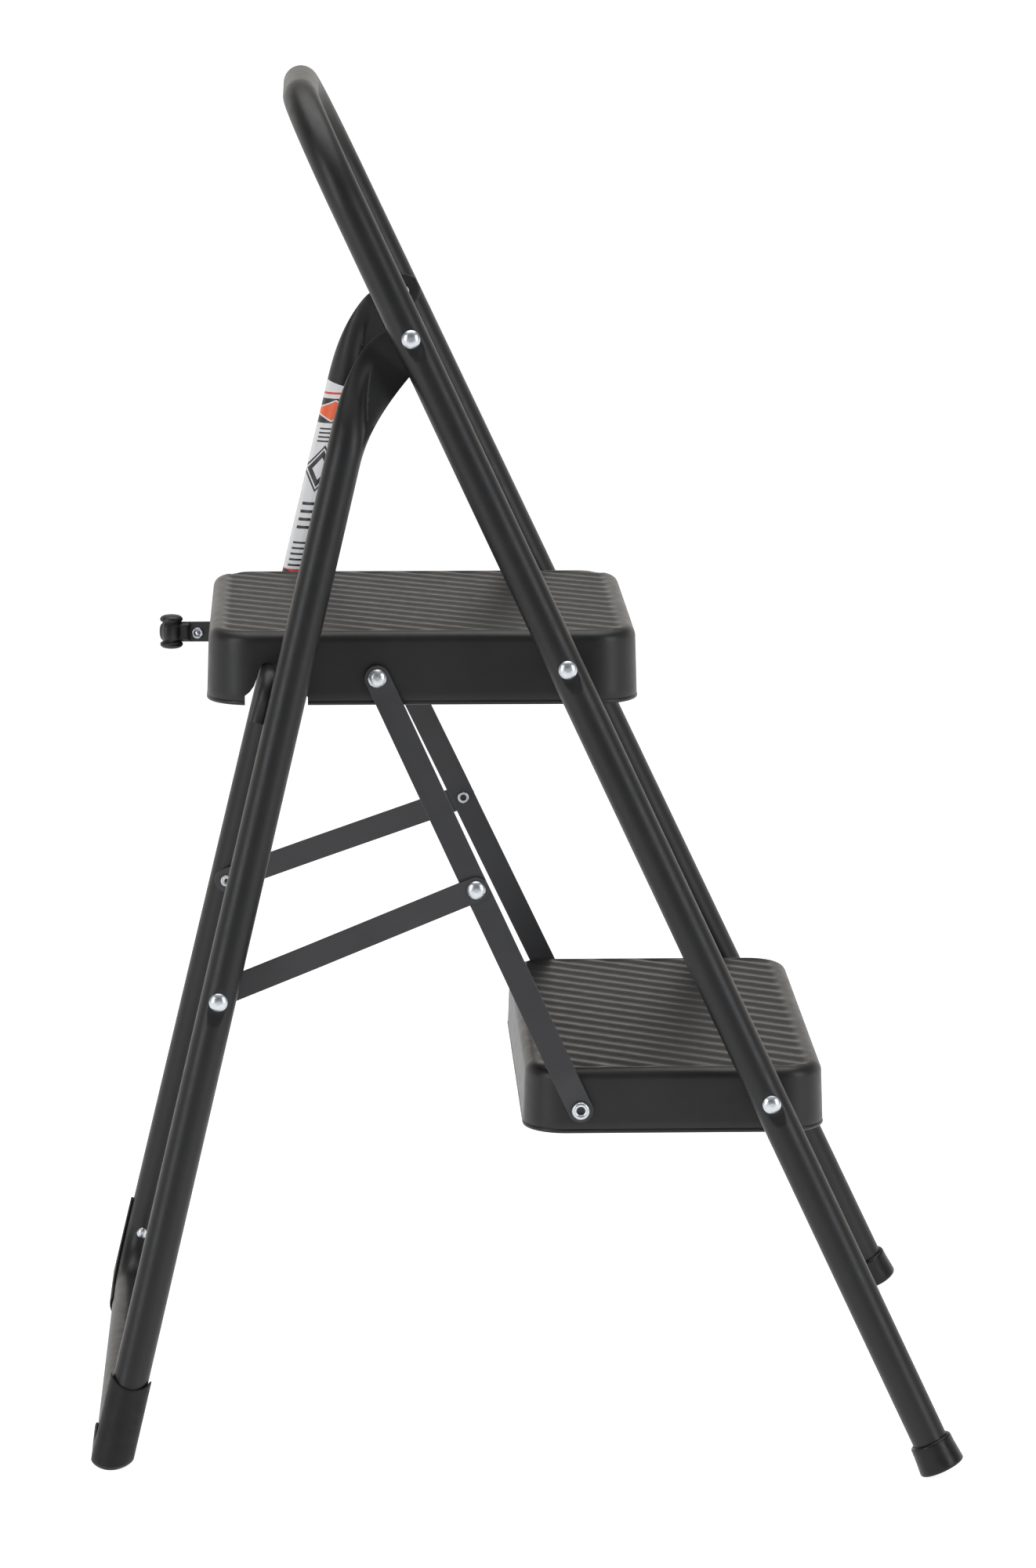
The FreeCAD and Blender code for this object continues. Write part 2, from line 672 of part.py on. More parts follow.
def latch_bracket():
    """Saddle under the tread whose two cheeks carry the latch pin."""
    top = TOP_STEP[3] - PAN_T
    inner = LATCH_T / 2 + PIN_REACH - CHEEK_T - 0.02
    outer = inner + CHEEK_T
    u, z = LATCH_PIVOT
    cheek = [(u - 6.8, top), (u - 6.5, z - 2), (u, z - 7, u + 6.5, z - 2), (u + 6.8, top)]
    body = side_prism(cheek, -outer, outer)
    hollow = side_prism([(u - 20, top - CHEEK_T), (u - 20, z - 20), (u + 20, z - 20),
                         (u + 20, top - CHEEK_T)], -inner, inner)
    return body.cut(hollow).cut(across(LATCH_PIVOT, LATCH_PIN_R + 0.02, -20, 20))


def latch_spring():
    """Torsion spring round the pin, beside the lever."""
    wire_r, coil_r, pitch, turns = 0.45, 3.5, 1.1, 4
    helix = Part.makeHelix(pitch, pitch * turns, coil_r)
    profile = Part.Wire(Part.makeCircle(wire_r, Vector(coil_r, 0, 0), Vector(0, 1, 0)))
    spring = Part.Wire(helix.Edges).makePipeShell([profile], True, True)
    spring.Placement = Placement(point(LATCH_T / 2 + 0.9, *LATCH_PIVOT),
                                 Rotation(Vector(0, 0, 1), Vector(1, 0, 0)))
    return spring


def latch_knob():
    """Moulded finger grip on the lever's tang: flanged spool with finger lobes."""
    u, middle = 11.4, 502.2
    half_h = 11.0
    outline = [(0, -half_h), (5.2, -half_h), (6.4, -half_h + 0.5, 6.9, -half_h + 1.8),
               (6.4, -half_h + 3.6), (5.4, -half_h + 5.2), (5.2, 0, 5.4, half_h - 5.2),
               (6.4, half_h - 3.6), (6.9, half_h - 1.8),
               (6.4, half_h - 0.5, 5.2, half_h), (0, half_h)]
    grip = lathe(outline, point(0, u, middle), Vector(0, 0, 1))
    neck = Part.makeBox(8.0, 8.5, 12.0, point(-4.0, 24.0, middle - 6.0))
    grip = grip.fuse(neck)
    tang = side_prism([(8.9, 495.6), (40.0, 495.6), (40.0, 508.6), (8.9, 508.6)],
                      -LATCH_T / 2 - 0.02, LATCH_T / 2 + 0.02)
    return grip.cut(tang).cut(across(KNOB_RIVET, KNOB_SHANK_R + 0.02, -10, 10)).removeSplitter()


def knob_rivet():
    reach = LATCH_T / 2 + 0.02
    outline = [(0, 1.7), (2.2, 1.35, 3.3, 0.3), (3.3, 0), (KNOB_SHANK_R, 0), (KNOB_SHANK_R, -2 * reach),
               (2.9, -2 * reach), (2.9, -2 * reach - 0.8), (0, -2 * reach - 0.8)]
    return lathe(outline, point(-reach, *KNOB_RIVET), Vector(-1, 0, 0))


# ---------------------------------------------------------------- assembly

def all_nodes():
    top_half, low_half = TOP_STEP[2], LOW_STEP[2]
    nodes = {
        "front_frame_tube": [front_frame_tube()],
        "frame_pivot_rivets": both(frame_pivot_rivet()),
        "top_step_pivot_rivets": both(step_pivot_rivet(TOP_PIVOT, top_half)),
        "lower_step_pivot_rivets": both(step_pivot_rivet(LOW_PIVOT, low_half)),
        "top_step_spacers": both(pivot_spacer(TOP_PIVOT, top_half)),
        "lower_step_spacers": both(pivot_spacer(LOW_PIVOT, low_half)),
        "rear_frame_tube": [rear_frame_tube()],
        "rear_catch_bar": [catch_bar()],
        "rear_boot_rivets": both(boot_rivet()),
        "link_leg_rivets": both(link_leg_rivet()),
        "rear_leg_label": [leg_label()],
        "top_step_pan": [top_step_pan()],
        "top_step_stiffener": [stiffener(TOP_STEP, 185.0)],
        "brace_top_rivets": both(brace_top_rivet()),
        "lower_step_pan": [lower_step_pan()],
        "lower_step_stiffener": [stiffener(LOW_STEP, 326.0)],
        "brace_low_rivets": both(brace_low_rivet()),
        "latch_bracket": [latch_bracket()],
        "latch_pin": [latch_pin()],
        "latch_spring": [latch_spring()],
        "latch_lever": [latch_lever()],
        "latch_knob": [latch_knob()],
        "latch_knob_rivet": [knob_rivet()],
    }
    sided = {"front_foot_tip": foot_tip(), "rear_boot": rear_boot(), "long_brace": long_brace(),
             "short_link": short_link(), "brace_link_rivet": brace_link_rivet(),
             "link_tail_button": link_tail_button()}
    for name, shape in sided.items():
        nodes[name + "_right"], nodes[name + "_left"] = [shape], [mirrored(shape)]
    return nodes


def main():
    os.makedirs("parts", exist_ok=True)
    whole = FreeCAD.BoundBox()
    for name, solids in all_nodes().items():
        shape = solids[0] if len(solids) == 1 else Part.makeCompound(solids)
        shape.exportStep("parts/" + name + ".step")
        whole.add(shape.BoundBox)
        print(name, "solids", len(shape.Solids), "valid", shape.isValid(),
              "cm3", round(shape.Volume / 1000, 2))
    print("y from", round(whole.YMin, 3), "to", round(whole.YMax, 3),
          "z from", round(whole.ZMin, 3), "to", round(whole.ZMax, 3),
          "x from", round(whole.XMin, 3), "to", round(whole.XMax, 3))
    print("link on leg", link_leg_pivot(), "link on brace", brace_link_pivot())


main()
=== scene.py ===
import json
import math
import bmesh
import bpy
from mathutils import Matrix, Vector


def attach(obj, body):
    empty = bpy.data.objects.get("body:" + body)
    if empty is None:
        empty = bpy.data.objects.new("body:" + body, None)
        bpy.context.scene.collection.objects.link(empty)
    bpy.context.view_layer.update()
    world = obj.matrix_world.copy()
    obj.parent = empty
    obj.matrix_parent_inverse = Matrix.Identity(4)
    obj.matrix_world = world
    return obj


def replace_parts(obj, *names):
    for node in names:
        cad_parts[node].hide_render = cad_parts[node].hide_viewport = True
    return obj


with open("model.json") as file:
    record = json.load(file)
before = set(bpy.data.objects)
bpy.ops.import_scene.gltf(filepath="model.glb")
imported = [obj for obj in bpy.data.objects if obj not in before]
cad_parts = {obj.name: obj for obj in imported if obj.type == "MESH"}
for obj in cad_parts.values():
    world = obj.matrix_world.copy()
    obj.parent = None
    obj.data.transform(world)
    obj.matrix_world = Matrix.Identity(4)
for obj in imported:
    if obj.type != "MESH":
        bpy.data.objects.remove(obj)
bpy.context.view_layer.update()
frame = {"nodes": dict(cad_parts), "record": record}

# A black folding steel step stool with ribbed treads and a tall loop handle.
# Lengths are in millimetres until a mesh is made. As in the part's source, side-plane
# points are (u, z), with u growing towards the climbing side, and x = 0 is the middle.

MM = 0.001
CENTRE_U = 234.87
TUBE_R = 11.1
HALF_WIDTH, FLARE = 219.6, 0.1037

FRONT_FOOT_U, FRONT_LEAN = 497.7, 0.4713
HANDLE_Z, HANDLE_BEND = 849.9, 78.0
FRONT_END_Z = 11.0

REAR_FOOT_U, REAR_LEAN = -28.0, 0.2367
REAR_BAR_Z, REAR_BEND = 12.6, 36.0
LEG_STRAIGHT_Z = 632.0
EAR_THICK, EAR_WIDTH, EAR_OUTER_X = 2.4, 33.1, 133.6
EAR_REACH, EAR_END_R, EAR_SPLAY = 20.0, 11.5, 0.14
EAR_DIR = Vector((0, -0.652, 0.758))

FRAME_PIVOT = (164.0, 708.2)
TOP_PIVOT = (260.0, 506.0)
LOW_PIVOT = (386.5, 236.6)
BRACE_OFFSET = (-117.0, -12.2)
LINK_SHARE, LINK_LEG_Z = 0.484, 302.2

# rear u, front u, half width, top z, bottom z, plan corner radius
TOP_STEP = (36.2, 307.2, 130.9, 522.4, 476.3, 29.0)
LOW_STEP = (233.8, 424.4, 165.0, 249.9, 208.6, 27.0)
PAN_T, BROW_R, HEM_R = 1.2, 7.0, 1.7
SKIRT_DRAFT = 1.1           # the skirt leans in by this much at the top
SKIRT_INSET = 0.35          # the hem bead stands proud of the skirt by this much

STRAP_W, STRAP_T = 15.9, 2.4


def point(x, u, z):
    return Vector((x, CENTRE_U - u, z))


def half_width(z):
    return HALF_WIDTH - FLARE * z


def front_point(z, side=1):
    """On the front tube's centre line; side is 1 at +X and -1 at -X."""
    return point(side * half_width(z), FRONT_FOOT_U - FRONT_LEAN * z, z)


def rear_point(z, side=1):
    return point(side * half_width(z), REAR_FOOT_U + REAR_LEAN * z, z)


FRONT_DOWN = (front_point(0) - front_point(100)).normalized()
FRONT_NORMAL = Vector((1, 0, 0)).cross(FRONT_DOWN).normalized()
REAR_DOWN = (rear_point(0) - rear_point(100)).normalized()
REAR_NORMAL = Vector((1, 0, 0)).cross(REAR_DOWN).normalized()
LINK_ON_LEG = (REAR_FOOT_U + REAR_LEAN * LINK_LEG_Z, LINK_LEG_Z)


def smooth(value, low, high):
    """0 below low, 1 above high, with an S curve between."""
    t = min(1.0, max(0.0, (value - low) / (high - low)))
    return t * t * (3 - 2 * t)


# ---------------------------------------------------------------- mesh helpers

def closed_mesh(name, verts, faces):
    """Mesh of a closed surface, with its faces turned outwards."""
    mesh = bpy.data.meshes.new(name)
    mesh.from_pydata([tuple(v * MM) for v in verts], [], faces)
    measure = bmesh.new()
    measure.from_mesh(mesh)
    if measure.calc_volume(signed=True) < 0:
        mesh.flip_normals()
    measure.free()
    return mesh


def make_piece(name, verts, faces, body, material, sharp=35.0):
    mesh = closed_mesh(name, verts, faces)
    mesh.validate()
    mesh.materials.append(material)
    piece = bpy.data.objects.new(name, mesh)
    bpy.context.scene.collection.objects.link(piece)
    shade(piece, sharp)
    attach(piece, body)
    return piece


def shade(piece, sharp):
    mesh = piece.data
    mesh.polygons.foreach_set("use_smooth", [True] * len(mesh.polygons))
    mesh.set_sharp_from_angle(angle=math.radians(sharp))


def skin(rings):
    """Vertices and faces over a list of equally long closed rings, capped at both ends."""
    verts = [v for ring in rings for v in ring]
    count = len(rings[0])
    faces = []
    for k in range(len(rings) - 1):
        a, b = k * count, (k + 1) * count
        faces += [(a + i, a + (i + 1) % count, b + (i + 1) % count, b + i) for i in range(count)]
    last = (len(rings) - 1) * count
    faces.append(tuple(reversed(range(count))))
    faces.append(tuple(last + i for i in range(count)))
    return verts, faces


def mirrored(rings):
    """The same rings on the other side of the stool."""
    return [[Vector((-v.x, v.y, v.z)) for v in ring] for ring in rings]


def lathe(profile, base, axis, segments=48):
    """Closed surface of revolution; profile is (radius, height) and starts and ends at r = 0."""
    turn = Vector((0, 0, 1)).rotation_difference(Vector(axis))
    verts, faces = [], []
    inner = profile[1:-1]
    for r, h in inner:
        for i in range(segments):
            a = 2 * math.pi * i / segments
            verts.append(base + turn @ Vector((r * math.cos(a), r * math.sin(a), h)))
    for k in range(len(inner) - 1):
        a, b = k * segments, (k + 1) * segments
        faces += [(a + i, a + (i + 1) % segments, b + (i + 1) % segments, b + i)
                  for i in range(segments)]
    first, last = len(verts), len(verts) + 1
    verts += [base + turn @ Vector((0, 0, h)) for _, h in (profile[0], profile[-1])]
    end = (len(inner) - 1) * segments
    for i in range(segments):
        j = (i + 1) % segments
        faces.append((first, j, i))
        faces.append((last, end + i, end + j))
    return verts, faces


def arc(centre_r, centre_h, radius, start, stop, steps):
    """Points of an arc in (radius, height), angles in degrees."""
    angles = [math.radians(start + (stop - start) * i / steps) for i in range(steps + 1)]
    return [(centre_r + radius * math.cos(a), centre_h + radius * math.sin(a)) for a in angles]


def combine(piece, operation, verts, faces):
    """Joins a closed mesh to a piece ("UNION") or takes it away ("DIFFERENCE")."""
    tool = bpy.data.objects.new("tool", closed_mesh("tool", verts, faces))
    bpy.context.scene.collection.objects.link(tool)
    step = piece.modifiers.new("combine", "BOOLEAN")
    step.operation = operation
    step.solver = "EXACT"
    step.object = tool
    bpy.context.view_layer.update()
    done = piece.evaluated_get(bpy.context.evaluated_depsgraph_get())
    result = bpy.data.meshes.new_from_object(done)
    piece.modifiers.clear()
    piece.data = result
    bpy.data.objects.remove(tool)


def side_prism(outline, x_from, x_to):
    """Closed prism along X over a (u, z) outline."""
    return skin([[point(x, u, z) for u, z in outline] for x in (x_from, x_to)])


# ---------------------------------------------------------------- materials

def set_stops(ramp, stops):
    """Gives a colour ramp, which starts with two stops, its (position, colour) list."""
    for index, (at, colour) in enumerate(stops):
        entry = ramp.elements[index] if index < 2 else ramp.elements.new(at)
        entry.position = at
        entry.color = (*colour, 1.0)


def set_range(node, from_low, from_high, to_low=0.0, to_high=1.0):
    for name, value in (("From Min", from_low), ("From Max", from_high),
                        ("To Min", to_low), ("To Max", to_high)):
        node.inputs[name].default_value = value


class Surface:
    """A Principled material whose textures use the object's own coordinates."""

    def __init__(self, name, metallic=0.0, specular=0.5):
        self.material = bpy.data.materials.new(name)
        self.material.use_nodes = True
        self.tree = self.material.node_tree
        self.shader = self.tree.nodes["Principled BSDF"]
        self.shader.inputs["Metallic"].default_value = metallic
        self.shader.inputs["Specular IOR Level"].default_value = specular
        self.place = self.node("ShaderNodeTexCoord").outputs["Object"]

    def node(self, kind, **inputs):
        made = self.tree.nodes.new(kind)
        for key, value in inputs.items():
            socket = made.inputs[key.replace("_", " ")]
            if isinstance(value, bpy.types.NodeSocket):
                self.tree.links.new(value, socket)
            else:
                socket.default_value = value
        return made

    def link(self, output, name):
        self.tree.links.new(output, self.shader.inputs[name])

    def noise(self, size_mm, detail=3.0, roughness=0.5):
        made = self.node("ShaderNodeTexNoise", Vector=self.place,
                         Scale=1000.0 / size_mm, Detail=detail, Roughness=roughness)
        return made.outputs["Fac"]

    def ramp(self, factor, stops, constant=False):
        made = self.node("ShaderNodeValToRGB", Fac=factor)
        ramp = made.color_ramp
        if constant:
            ramp.interpolation = "CONSTANT"
        set_stops(ramp, stops)
        return made.outputs["Color"]

    def spread(self, factor, low, high):
        made = self.node("ShaderNodeMapRange", Value=factor)
        set_range(made, 0.3, 0.7, low, high)
        return made.outputs["Result"]

    def bumps(self, layers, edge_mm=0.0):
        """layers are (height texture, depth in mm, strength), finest last."""
        normal = None
        if edge_mm:
            rounded = self.node("ShaderNodeBevel", Radius=edge_mm * MM)
            rounded.samples = 4
            normal = rounded.outputs["Normal"]
        for height, depth, strength in layers:
            bump = self.node("ShaderNodeBump", Height=height, Distance=depth * MM,
                             Strength=strength)
            if normal is not None:
                self.tree.links.new(normal, bump.inputs["Normal"])
            normal = bump.outputs["Normal"]
        self.link(normal, "Normal")


def powder_coat(name, dark, light, gloss, edge_mm=0.0):
    """Satin black powder coat: faint cloudiness, slow unevenness and fine orange peel."""
    s = Surface(name, specular=0.38)
    s.link(s.ramp(s.noise(60.0, 4.0), [(0.3, dark), (0.7, light)]), "Base Color")
    s.link(s.spread(s.noise(9.0, 5.0, 0.65), gloss - 0.04, gloss + 0.05), "Roughness")
    peel = s.noise(1.6, 2.0)
    grain = s.noise(0.45, 2.0, 0.6)
    s.bumps([(s.noise(24.0, 2.0), 0.35, 0.35), (peel, 0.05, 0.45), (grain, 0.02, 0.4)], edge_mm)
    return s.material


def zinc():
    s = Surface("zinc_plate", metallic=1.0)
    shades = [(0.3, (0.50, 0.53, 0.56)), (0.7, (0.58, 0.61, 0.64))]
    s.link(s.ramp(s.noise(2.5, 4.0), shades), "Base Color")
    s.link(s.spread(s.noise(3.0, 4.0, 0.6), 0.25, 0.33), "Roughness")
    s.bumps([(s.noise(0.5, 2.0), 0.004, 0.3)])
    return s.material


def spring_steel():
    s = Surface("spring_steel", metallic=1.0)
    shades = [(0.3, (0.42, 0.42, 0.43)), (0.7, (0.55, 0.55, 0.56))]
    s.link(s.ramp(s.noise(1.0), shades), "Base Color")
    s.link(s.spread(s.noise(0.5, 4.0), 0.25, 0.4), "Roughness")
    s.bumps([(s.noise(0.2), 0.01, 0.4)])
    return s.material


MOULD_EDGE = 0.3


def moulded(name, dark, light, gloss, grain_mm, depth_mm, specular=0.4):
    """Moulded plastic or rubber with a fine mould grain and slow unevenness."""
    s = Surface(name, specular=specular)
    s.link(s.ramp(s.noise(14.0, 5.0), [(0.3, dark), (0.7, light)]), "Base Color")
    s.link(s.spread(s.noise(5.0, 5.0, 0.7), gloss - 0.07, gloss + 0.08), "Roughness")
    s.bumps([(s.noise(7.0, 3.0), 0.25, 0.4), (s.noise(grain_mm, 3.0), depth_mm, 0.5)], MOULD_EDGE)
    return s.material


LABEL_LOW, LABEL_HIGH = 517.0, 645.5
LABEL_TOP_T = 0.19          # how far up the pressed end the film reaches
LABEL_REAR, LABEL_FRONT = math.radians(-78), math.radians(56)


def label_film():
    """Printed film: thin rules, an orange block with black corners, lozenges, short bars."""
    s = Surface("label_film")
    split = s.node("ShaderNodeSeparateXYZ", Vector=s.place)

    def sum_of(kind, a, b):
        made = s.tree.nodes.new("ShaderNodeMath")
        made.operation = kind
        for socket, value in zip(made.inputs, (a, b)):
            if isinstance(value, bpy.types.NodeSocket):
                s.tree.links.new(value, socket)
            else:
                socket.default_value = value
        return made.outputs["Value"]

    def band(value, low, high):
        return sum_of("MULTIPLY", sum_of("GREATER_THAN", value, low),
                      sum_of("LESS_THAN", value, high))

    def distance(value, centre):
        return sum_of("ABSOLUTE", sum_of("SUBTRACT", value, centre), 0.0)

    def paint(below, colour, mask):
        mix = s.node("ShaderNodeMixRGB", Fac=mask, Color1=below)
        if isinstance(colour, bpy.types.NodeSocket):
            s.tree.links.new(colour, mix.inputs["Color2"])
        else:
            mix.inputs["Color2"].default_value = (*colour, 1)
        return mix.outputs["Color"]

    low, height = LABEL_LOW * MM, (LABEL_HIGH - LABEL_LOW) * MM
    v = sum_of("DIVIDE", sum_of("SUBTRACT", split.outputs["Z"], low), height)
    foot_y = point(0, REAR_FOOT_U + REAR_LEAN * LABEL_LOW, 0).y * MM
    along_lean = sum_of("MULTIPLY", v, height * REAR_LEAN)
    from_foot = sum_of("SUBTRACT", split.outputs["Y"], foot_y)
    c = sum_of("DIVIDE", sum_of("ADD", from_foot, along_lean), TUBE_R * MM)
    w = distance(c, 0.25)
    white, red = (0.66, 0.66, 0.67), (0.60, 0.05, 0.04)
    black, orange = (0.02, 0.02, 0.022), (0.75, 0.11, 0.03)
    colour = s.ramp(v, [(0.0, red), (0.012, white), (0.938, red), (0.950, white)], constant=True)
    for start, stop, pitch, width in ((0.03, 0.18, 0.030, 0.011), (0.23, 0.38, 0.042, 0.016),
                                      (0.69, 0.775, 0.022, 0.009)):
        repeat = sum_of("MODULO", sum_of("SUBTRACT", v, start), pitch)
        bars = sum_of("MULTIPLY", sum_of("LESS_THAN", repeat, width), band(v, start, stop))
        colour = paint(colour, black, sum_of("MULTIPLY", bars, band(c, -0.35, 0.80)))
    ring = sum_of("ADD", distance(v, 0.55), sum_of("MULTIPLY", w, 0.13))
    lozenges = s.ramp(ring, [(0.0, white), (0.055, black), (0.095, white), (0.108, black),
                             (0.125, white)], constant=True)
    colour = paint(colour, lozenges, band(v, 0.42, 0.68))
    block = sum_of("ADD", distance(v, 0.855), sum_of("MULTIPLY", w, 0.045))
    corners = s.ramp(block, [(0.0, orange), (0.050, white), (0.058, black)], constant=True)
    colour = paint(colour, corners, band(v, 0.79, 0.92))
    s.link(colour, "Base Color")
    s.link(s.spread(s.noise(4.0), 0.34, 0.46), "Roughness")
    s.bumps([(s.noise(6.0, 2.0), 0.06, 0.4)])
    return s.material


TUBE = powder_coat("tube_coat", (0.0050, 0.0051, 0.0058), (0.0074, 0.0075, 0.0083), 0.42)
TREAD = powder_coat("tread_coat", (0.0060, 0.0060, 0.0066), (0.0088, 0.0088, 0.0094), 0.40)
# Painted light: the straps wear the same black powder coat as the tubes, with a base colour about
# five times lighter to stand for the brighter light their flat faces catch.
STRAP = powder_coat("strap_coat_painted_lighter", (0.0285, 0.0287, 0.0304), (0.0360, 0.0362, 0.0384), 0.44,
                    edge_mm=0.25)
ZINC = zinc()
SPRING = spring_steel()
RUBBER = moulded("tip_rubber", (0.0045, 0.0045, 0.0050), (0.0070, 0.0070, 0.0076), 0.34,
                 grain_mm=0.9, depth_mm=0.04, specular=0.28)
BOOT = moulded("boot_plastic", (0.0058, 0.0058, 0.0064), (0.0092, 0.0092, 0.0099), 0.56,
               grain_mm=0.6, depth_mm=0.04, specular=0.25)
KNOB = moulded("knob_plastic", (0.009, 0.009, 0.0092), (0.015, 0.0147, 0.0142), 0.42,
               grain_mm=0.7, depth_mm=0.04)
SPACER = moulded("spacer_nylon", (0.012, 0.012, 0.012), (0.016, 0.016, 0.016), 0.5,
                 grain_mm=0.8, depth_mm=0.03)
LABEL = label_film()

FINISH = {"black_tube": TUBE, "black_tread": TREAD, "black_strap": STRAP, "zinc_rivet": ZINC,
          "spring_wire": SPRING, "black_rubber": RUBBER, "black_boot": BOOT, "black_knob": KNOB,
          "black_spacer": SPACER, "label_film": LABEL}


def dress_cad_nodes():
    """Gives every carried-over CAD node the finish of its material slot."""
    for entry in frame["record"]["subparts"]:
        node = frame["nodes"][entry["node"]]
        node.data.materials.clear()
        node.data.materials.append(FINISH[entry["material_slot"]])
        shade(node, 30.0)


# ---------------------------------------------------------------- tubes

# Within reach of a rivet a tube's rings stand close, and further off the step grows
DENSE_REACH, DENSE_STEP, STEP_GROWTH = 22, 1.3, 0.7


def bend_path(corners, radius, step_deg=3.0, spacing=40.0, dense=()):
    """Points along straight runs joined by arcs; finer within reach of the dense points."""
    points = [corners[0]]

    def run_to(goal):
        start = points[-1]
        length = (goal - start).length
        along = (goal - start) / length
        at = 0.0
        while at < length - 1e-6:
            here = start + along * at
            near = min([(here - d).length for d in dense] + [1e9])
            step = min(spacing, (near - DENSE_REACH + 2) * STEP_GROWTH)
            at = min(length, at + (DENSE_STEP if near < DENSE_REACH else step))
            points.append(start + along * at)

    for before, corner, after in zip(corners, corners[1:], corners[2:]):
        back, ahead = (before - corner).normalized(), (after - corner).normalized()
        half = back.angle(ahead) / 2
        reach = radius / math.tan(half)
        centre = corner + (back + ahead).normalized() * (radius / math.sin(half))
        first = corner + back * reach
        run_to(first)
        swing = math.pi - 2 * half
        normal = back.cross(ahead).normalized()
        count = max(4, int(math.degrees(swing) / step_deg))
        arm = first - centre
        for i in range(1, count + 1):
            points.append(centre + Matrix.Rotation(-swing * i / count, 3, normal) @ arm)
    run_to(corners[-1])
    return points


def tangents(points):
    out = []
    for i in range(len(points)):
        a, b = points[max(0, i - 1)], points[min(len(points) - 1, i + 1)]
        out.append((b - a).normalized())
    return out


def round_ring(centre, first, second, segments):
    """A tube's ring, that starts at the first direction and turns towards the second."""
    turns = [2 * math.pi * i / segments for i in range(segments)]
    return [centre + (first * math.cos(a) + second * math.sin(a)) * TUBE_R for a in turns]


# The flat pressed round a rivet: its depth and radius, and how far out and up its rim runs
SPOT_DEPTH, SPOT_R, SPOT_REACH, SPOT_RISE = 0.9, 6.5, 14, 1.6


def press_spots(rings, pivots):
    """Presses a shallow flat into the outer side of a tube round each rivet."""
    for ring in rings:
        for v in ring:
            for pivot in pivots:
                centre = point(0, *pivot)
                away = math.hypot(v.y - centre.y, v.z - centre.z)
                if away < SPOT_REACH:
                    limit = half_width(pivot[1]) + TUBE_R - SPOT_DEPTH
                    limit += SPOT_RISE * smooth(away, SPOT_R, SPOT_REACH)
                    if abs(v.x) > limit:
                        v.x = math.copysign(limit, v.x)


FRONT_SEGMENTS = 56


def front_frame():
    corners = [front_point(FRONT_END_Z), front_point(HANDLE_Z), front_point(HANDLE_Z, -1),
               front_point(FRONT_END_Z, -1)]
    spots = [FRAME_PIVOT, TOP_PIVOT, LOW_PIVOT]
    dense = [front_point(z, side) for _, z in spots for side in (1, -1)]
    points = bend_path(corners, HANDLE_BEND, dense=dense)
    rings = []
    for here, heading in zip(points, tangents(points)):
        side = FRONT_NORMAL.cross(heading).normalized()
        rings.append(round_ring(here, side, FRONT_NORMAL, FRONT_SEGMENTS))
    press_spots(rings, spots)
    verts, faces = skin(rings)
    piece = make_piece("front_frame_tube_skin", verts, faces, "front_frame", TUBE)
    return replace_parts(piece, "front_frame_tube")


# The rear leg's round end is pressed into a flat ear. Each pair is the stretch, from 0 at the
# round end to 1 at the flat one, over which a change runs.
EAR_WIDENS, EDGE_SQUARES = (0.0, 1.0), (0.12, 0.6)
RIDGE_SINKS, WEB_SINKS, RIDGE_NARROWS = (0.25, 0.98), (0.06, 0.46), (0.06, 0.92)
VALLEY_OPENS, VALLEY_CLOSES = (0.15, 0.5), (0.8, 0.98)
RIDGE_LEFT = 0.34           # the ridge's share of the width at the flat end
VALLEY_BLEND = 1.2          # rounding where the ridge meets the flat web
RIDGE_SIDE = 1              # the ridge runs up the rear edge
EAR_SQUARE = 6              # how square the flat ear's section is; 2 is round
EAR_NARROWS, EAR_TIP = (0.0, 0.68), 0.5     # beside the pivot, and half the width left at the end
EAR_SEGMENTS, EAR_RINGS, EAR_END_RINGS = 84, 64, 14


def ear_outline(t, a):
    """(across, through) of the ear's section at angle a. The tube's roundness runs on up the
    rear edge as a ridge that narrows, and the front half is pressed flat."""
    flat_half = EAR_THICK / 2
    half = TUBE_R + (EAR_WIDTH / 2 - TUBE_R) * smooth(t, *EAR_WIDENS)
    ridge_high = TUBE_R + (flat_half - TUBE_R) * smooth(t, *RIDGE_SINKS)
    web_high = TUBE_R + (flat_half - TUBE_R) * smooth(t, *WEB_SINKS)
    share = 1 - (1 - RIDGE_LEFT) * smooth(t, *RIDGE_NARROWS)
    squareness = 2 + (EAR_SQUARE - 2) * smooth(t, *EDGE_SQUARES)
    blend = VALLEY_BLEND * smooth(t, *VALLEY_OPENS) * (1 - smooth(t, *VALLEY_CLOSES))
    blend = max(0.001, blend)
    across = math.cos(a)
    from_ridge = min(1.0, abs(across - RIDGE_SIDE * (1 - share)) / share)
    high = ridge_high * math.sqrt(1 - from_ridge ** 2)
    flat = web_high * math.sqrt(max(0.0, 1 - abs(across) ** squareness))
    thick = max(high, flat) + max(0.0, blend - abs(high - flat)) ** 2 / (4 * blend)
    return across * half, math.copysign(thick, math.sin(a))


def ear_frame(heading):
    """Directions across and through the ear's section."""
    wide = heading.cross(Vector((1, 0, 0))).normalized()
    return wide, wide.cross(heading).normalized()


def ear_section(t, centre, heading):
    wide, thin = ear_frame(heading)
    outline = [ear_outline(t, 2 * math.pi * i / EAR_SEGMENTS) for i in range(EAR_SEGMENTS)]
    return [centre + wide * across + thin * through for across, through in outline]


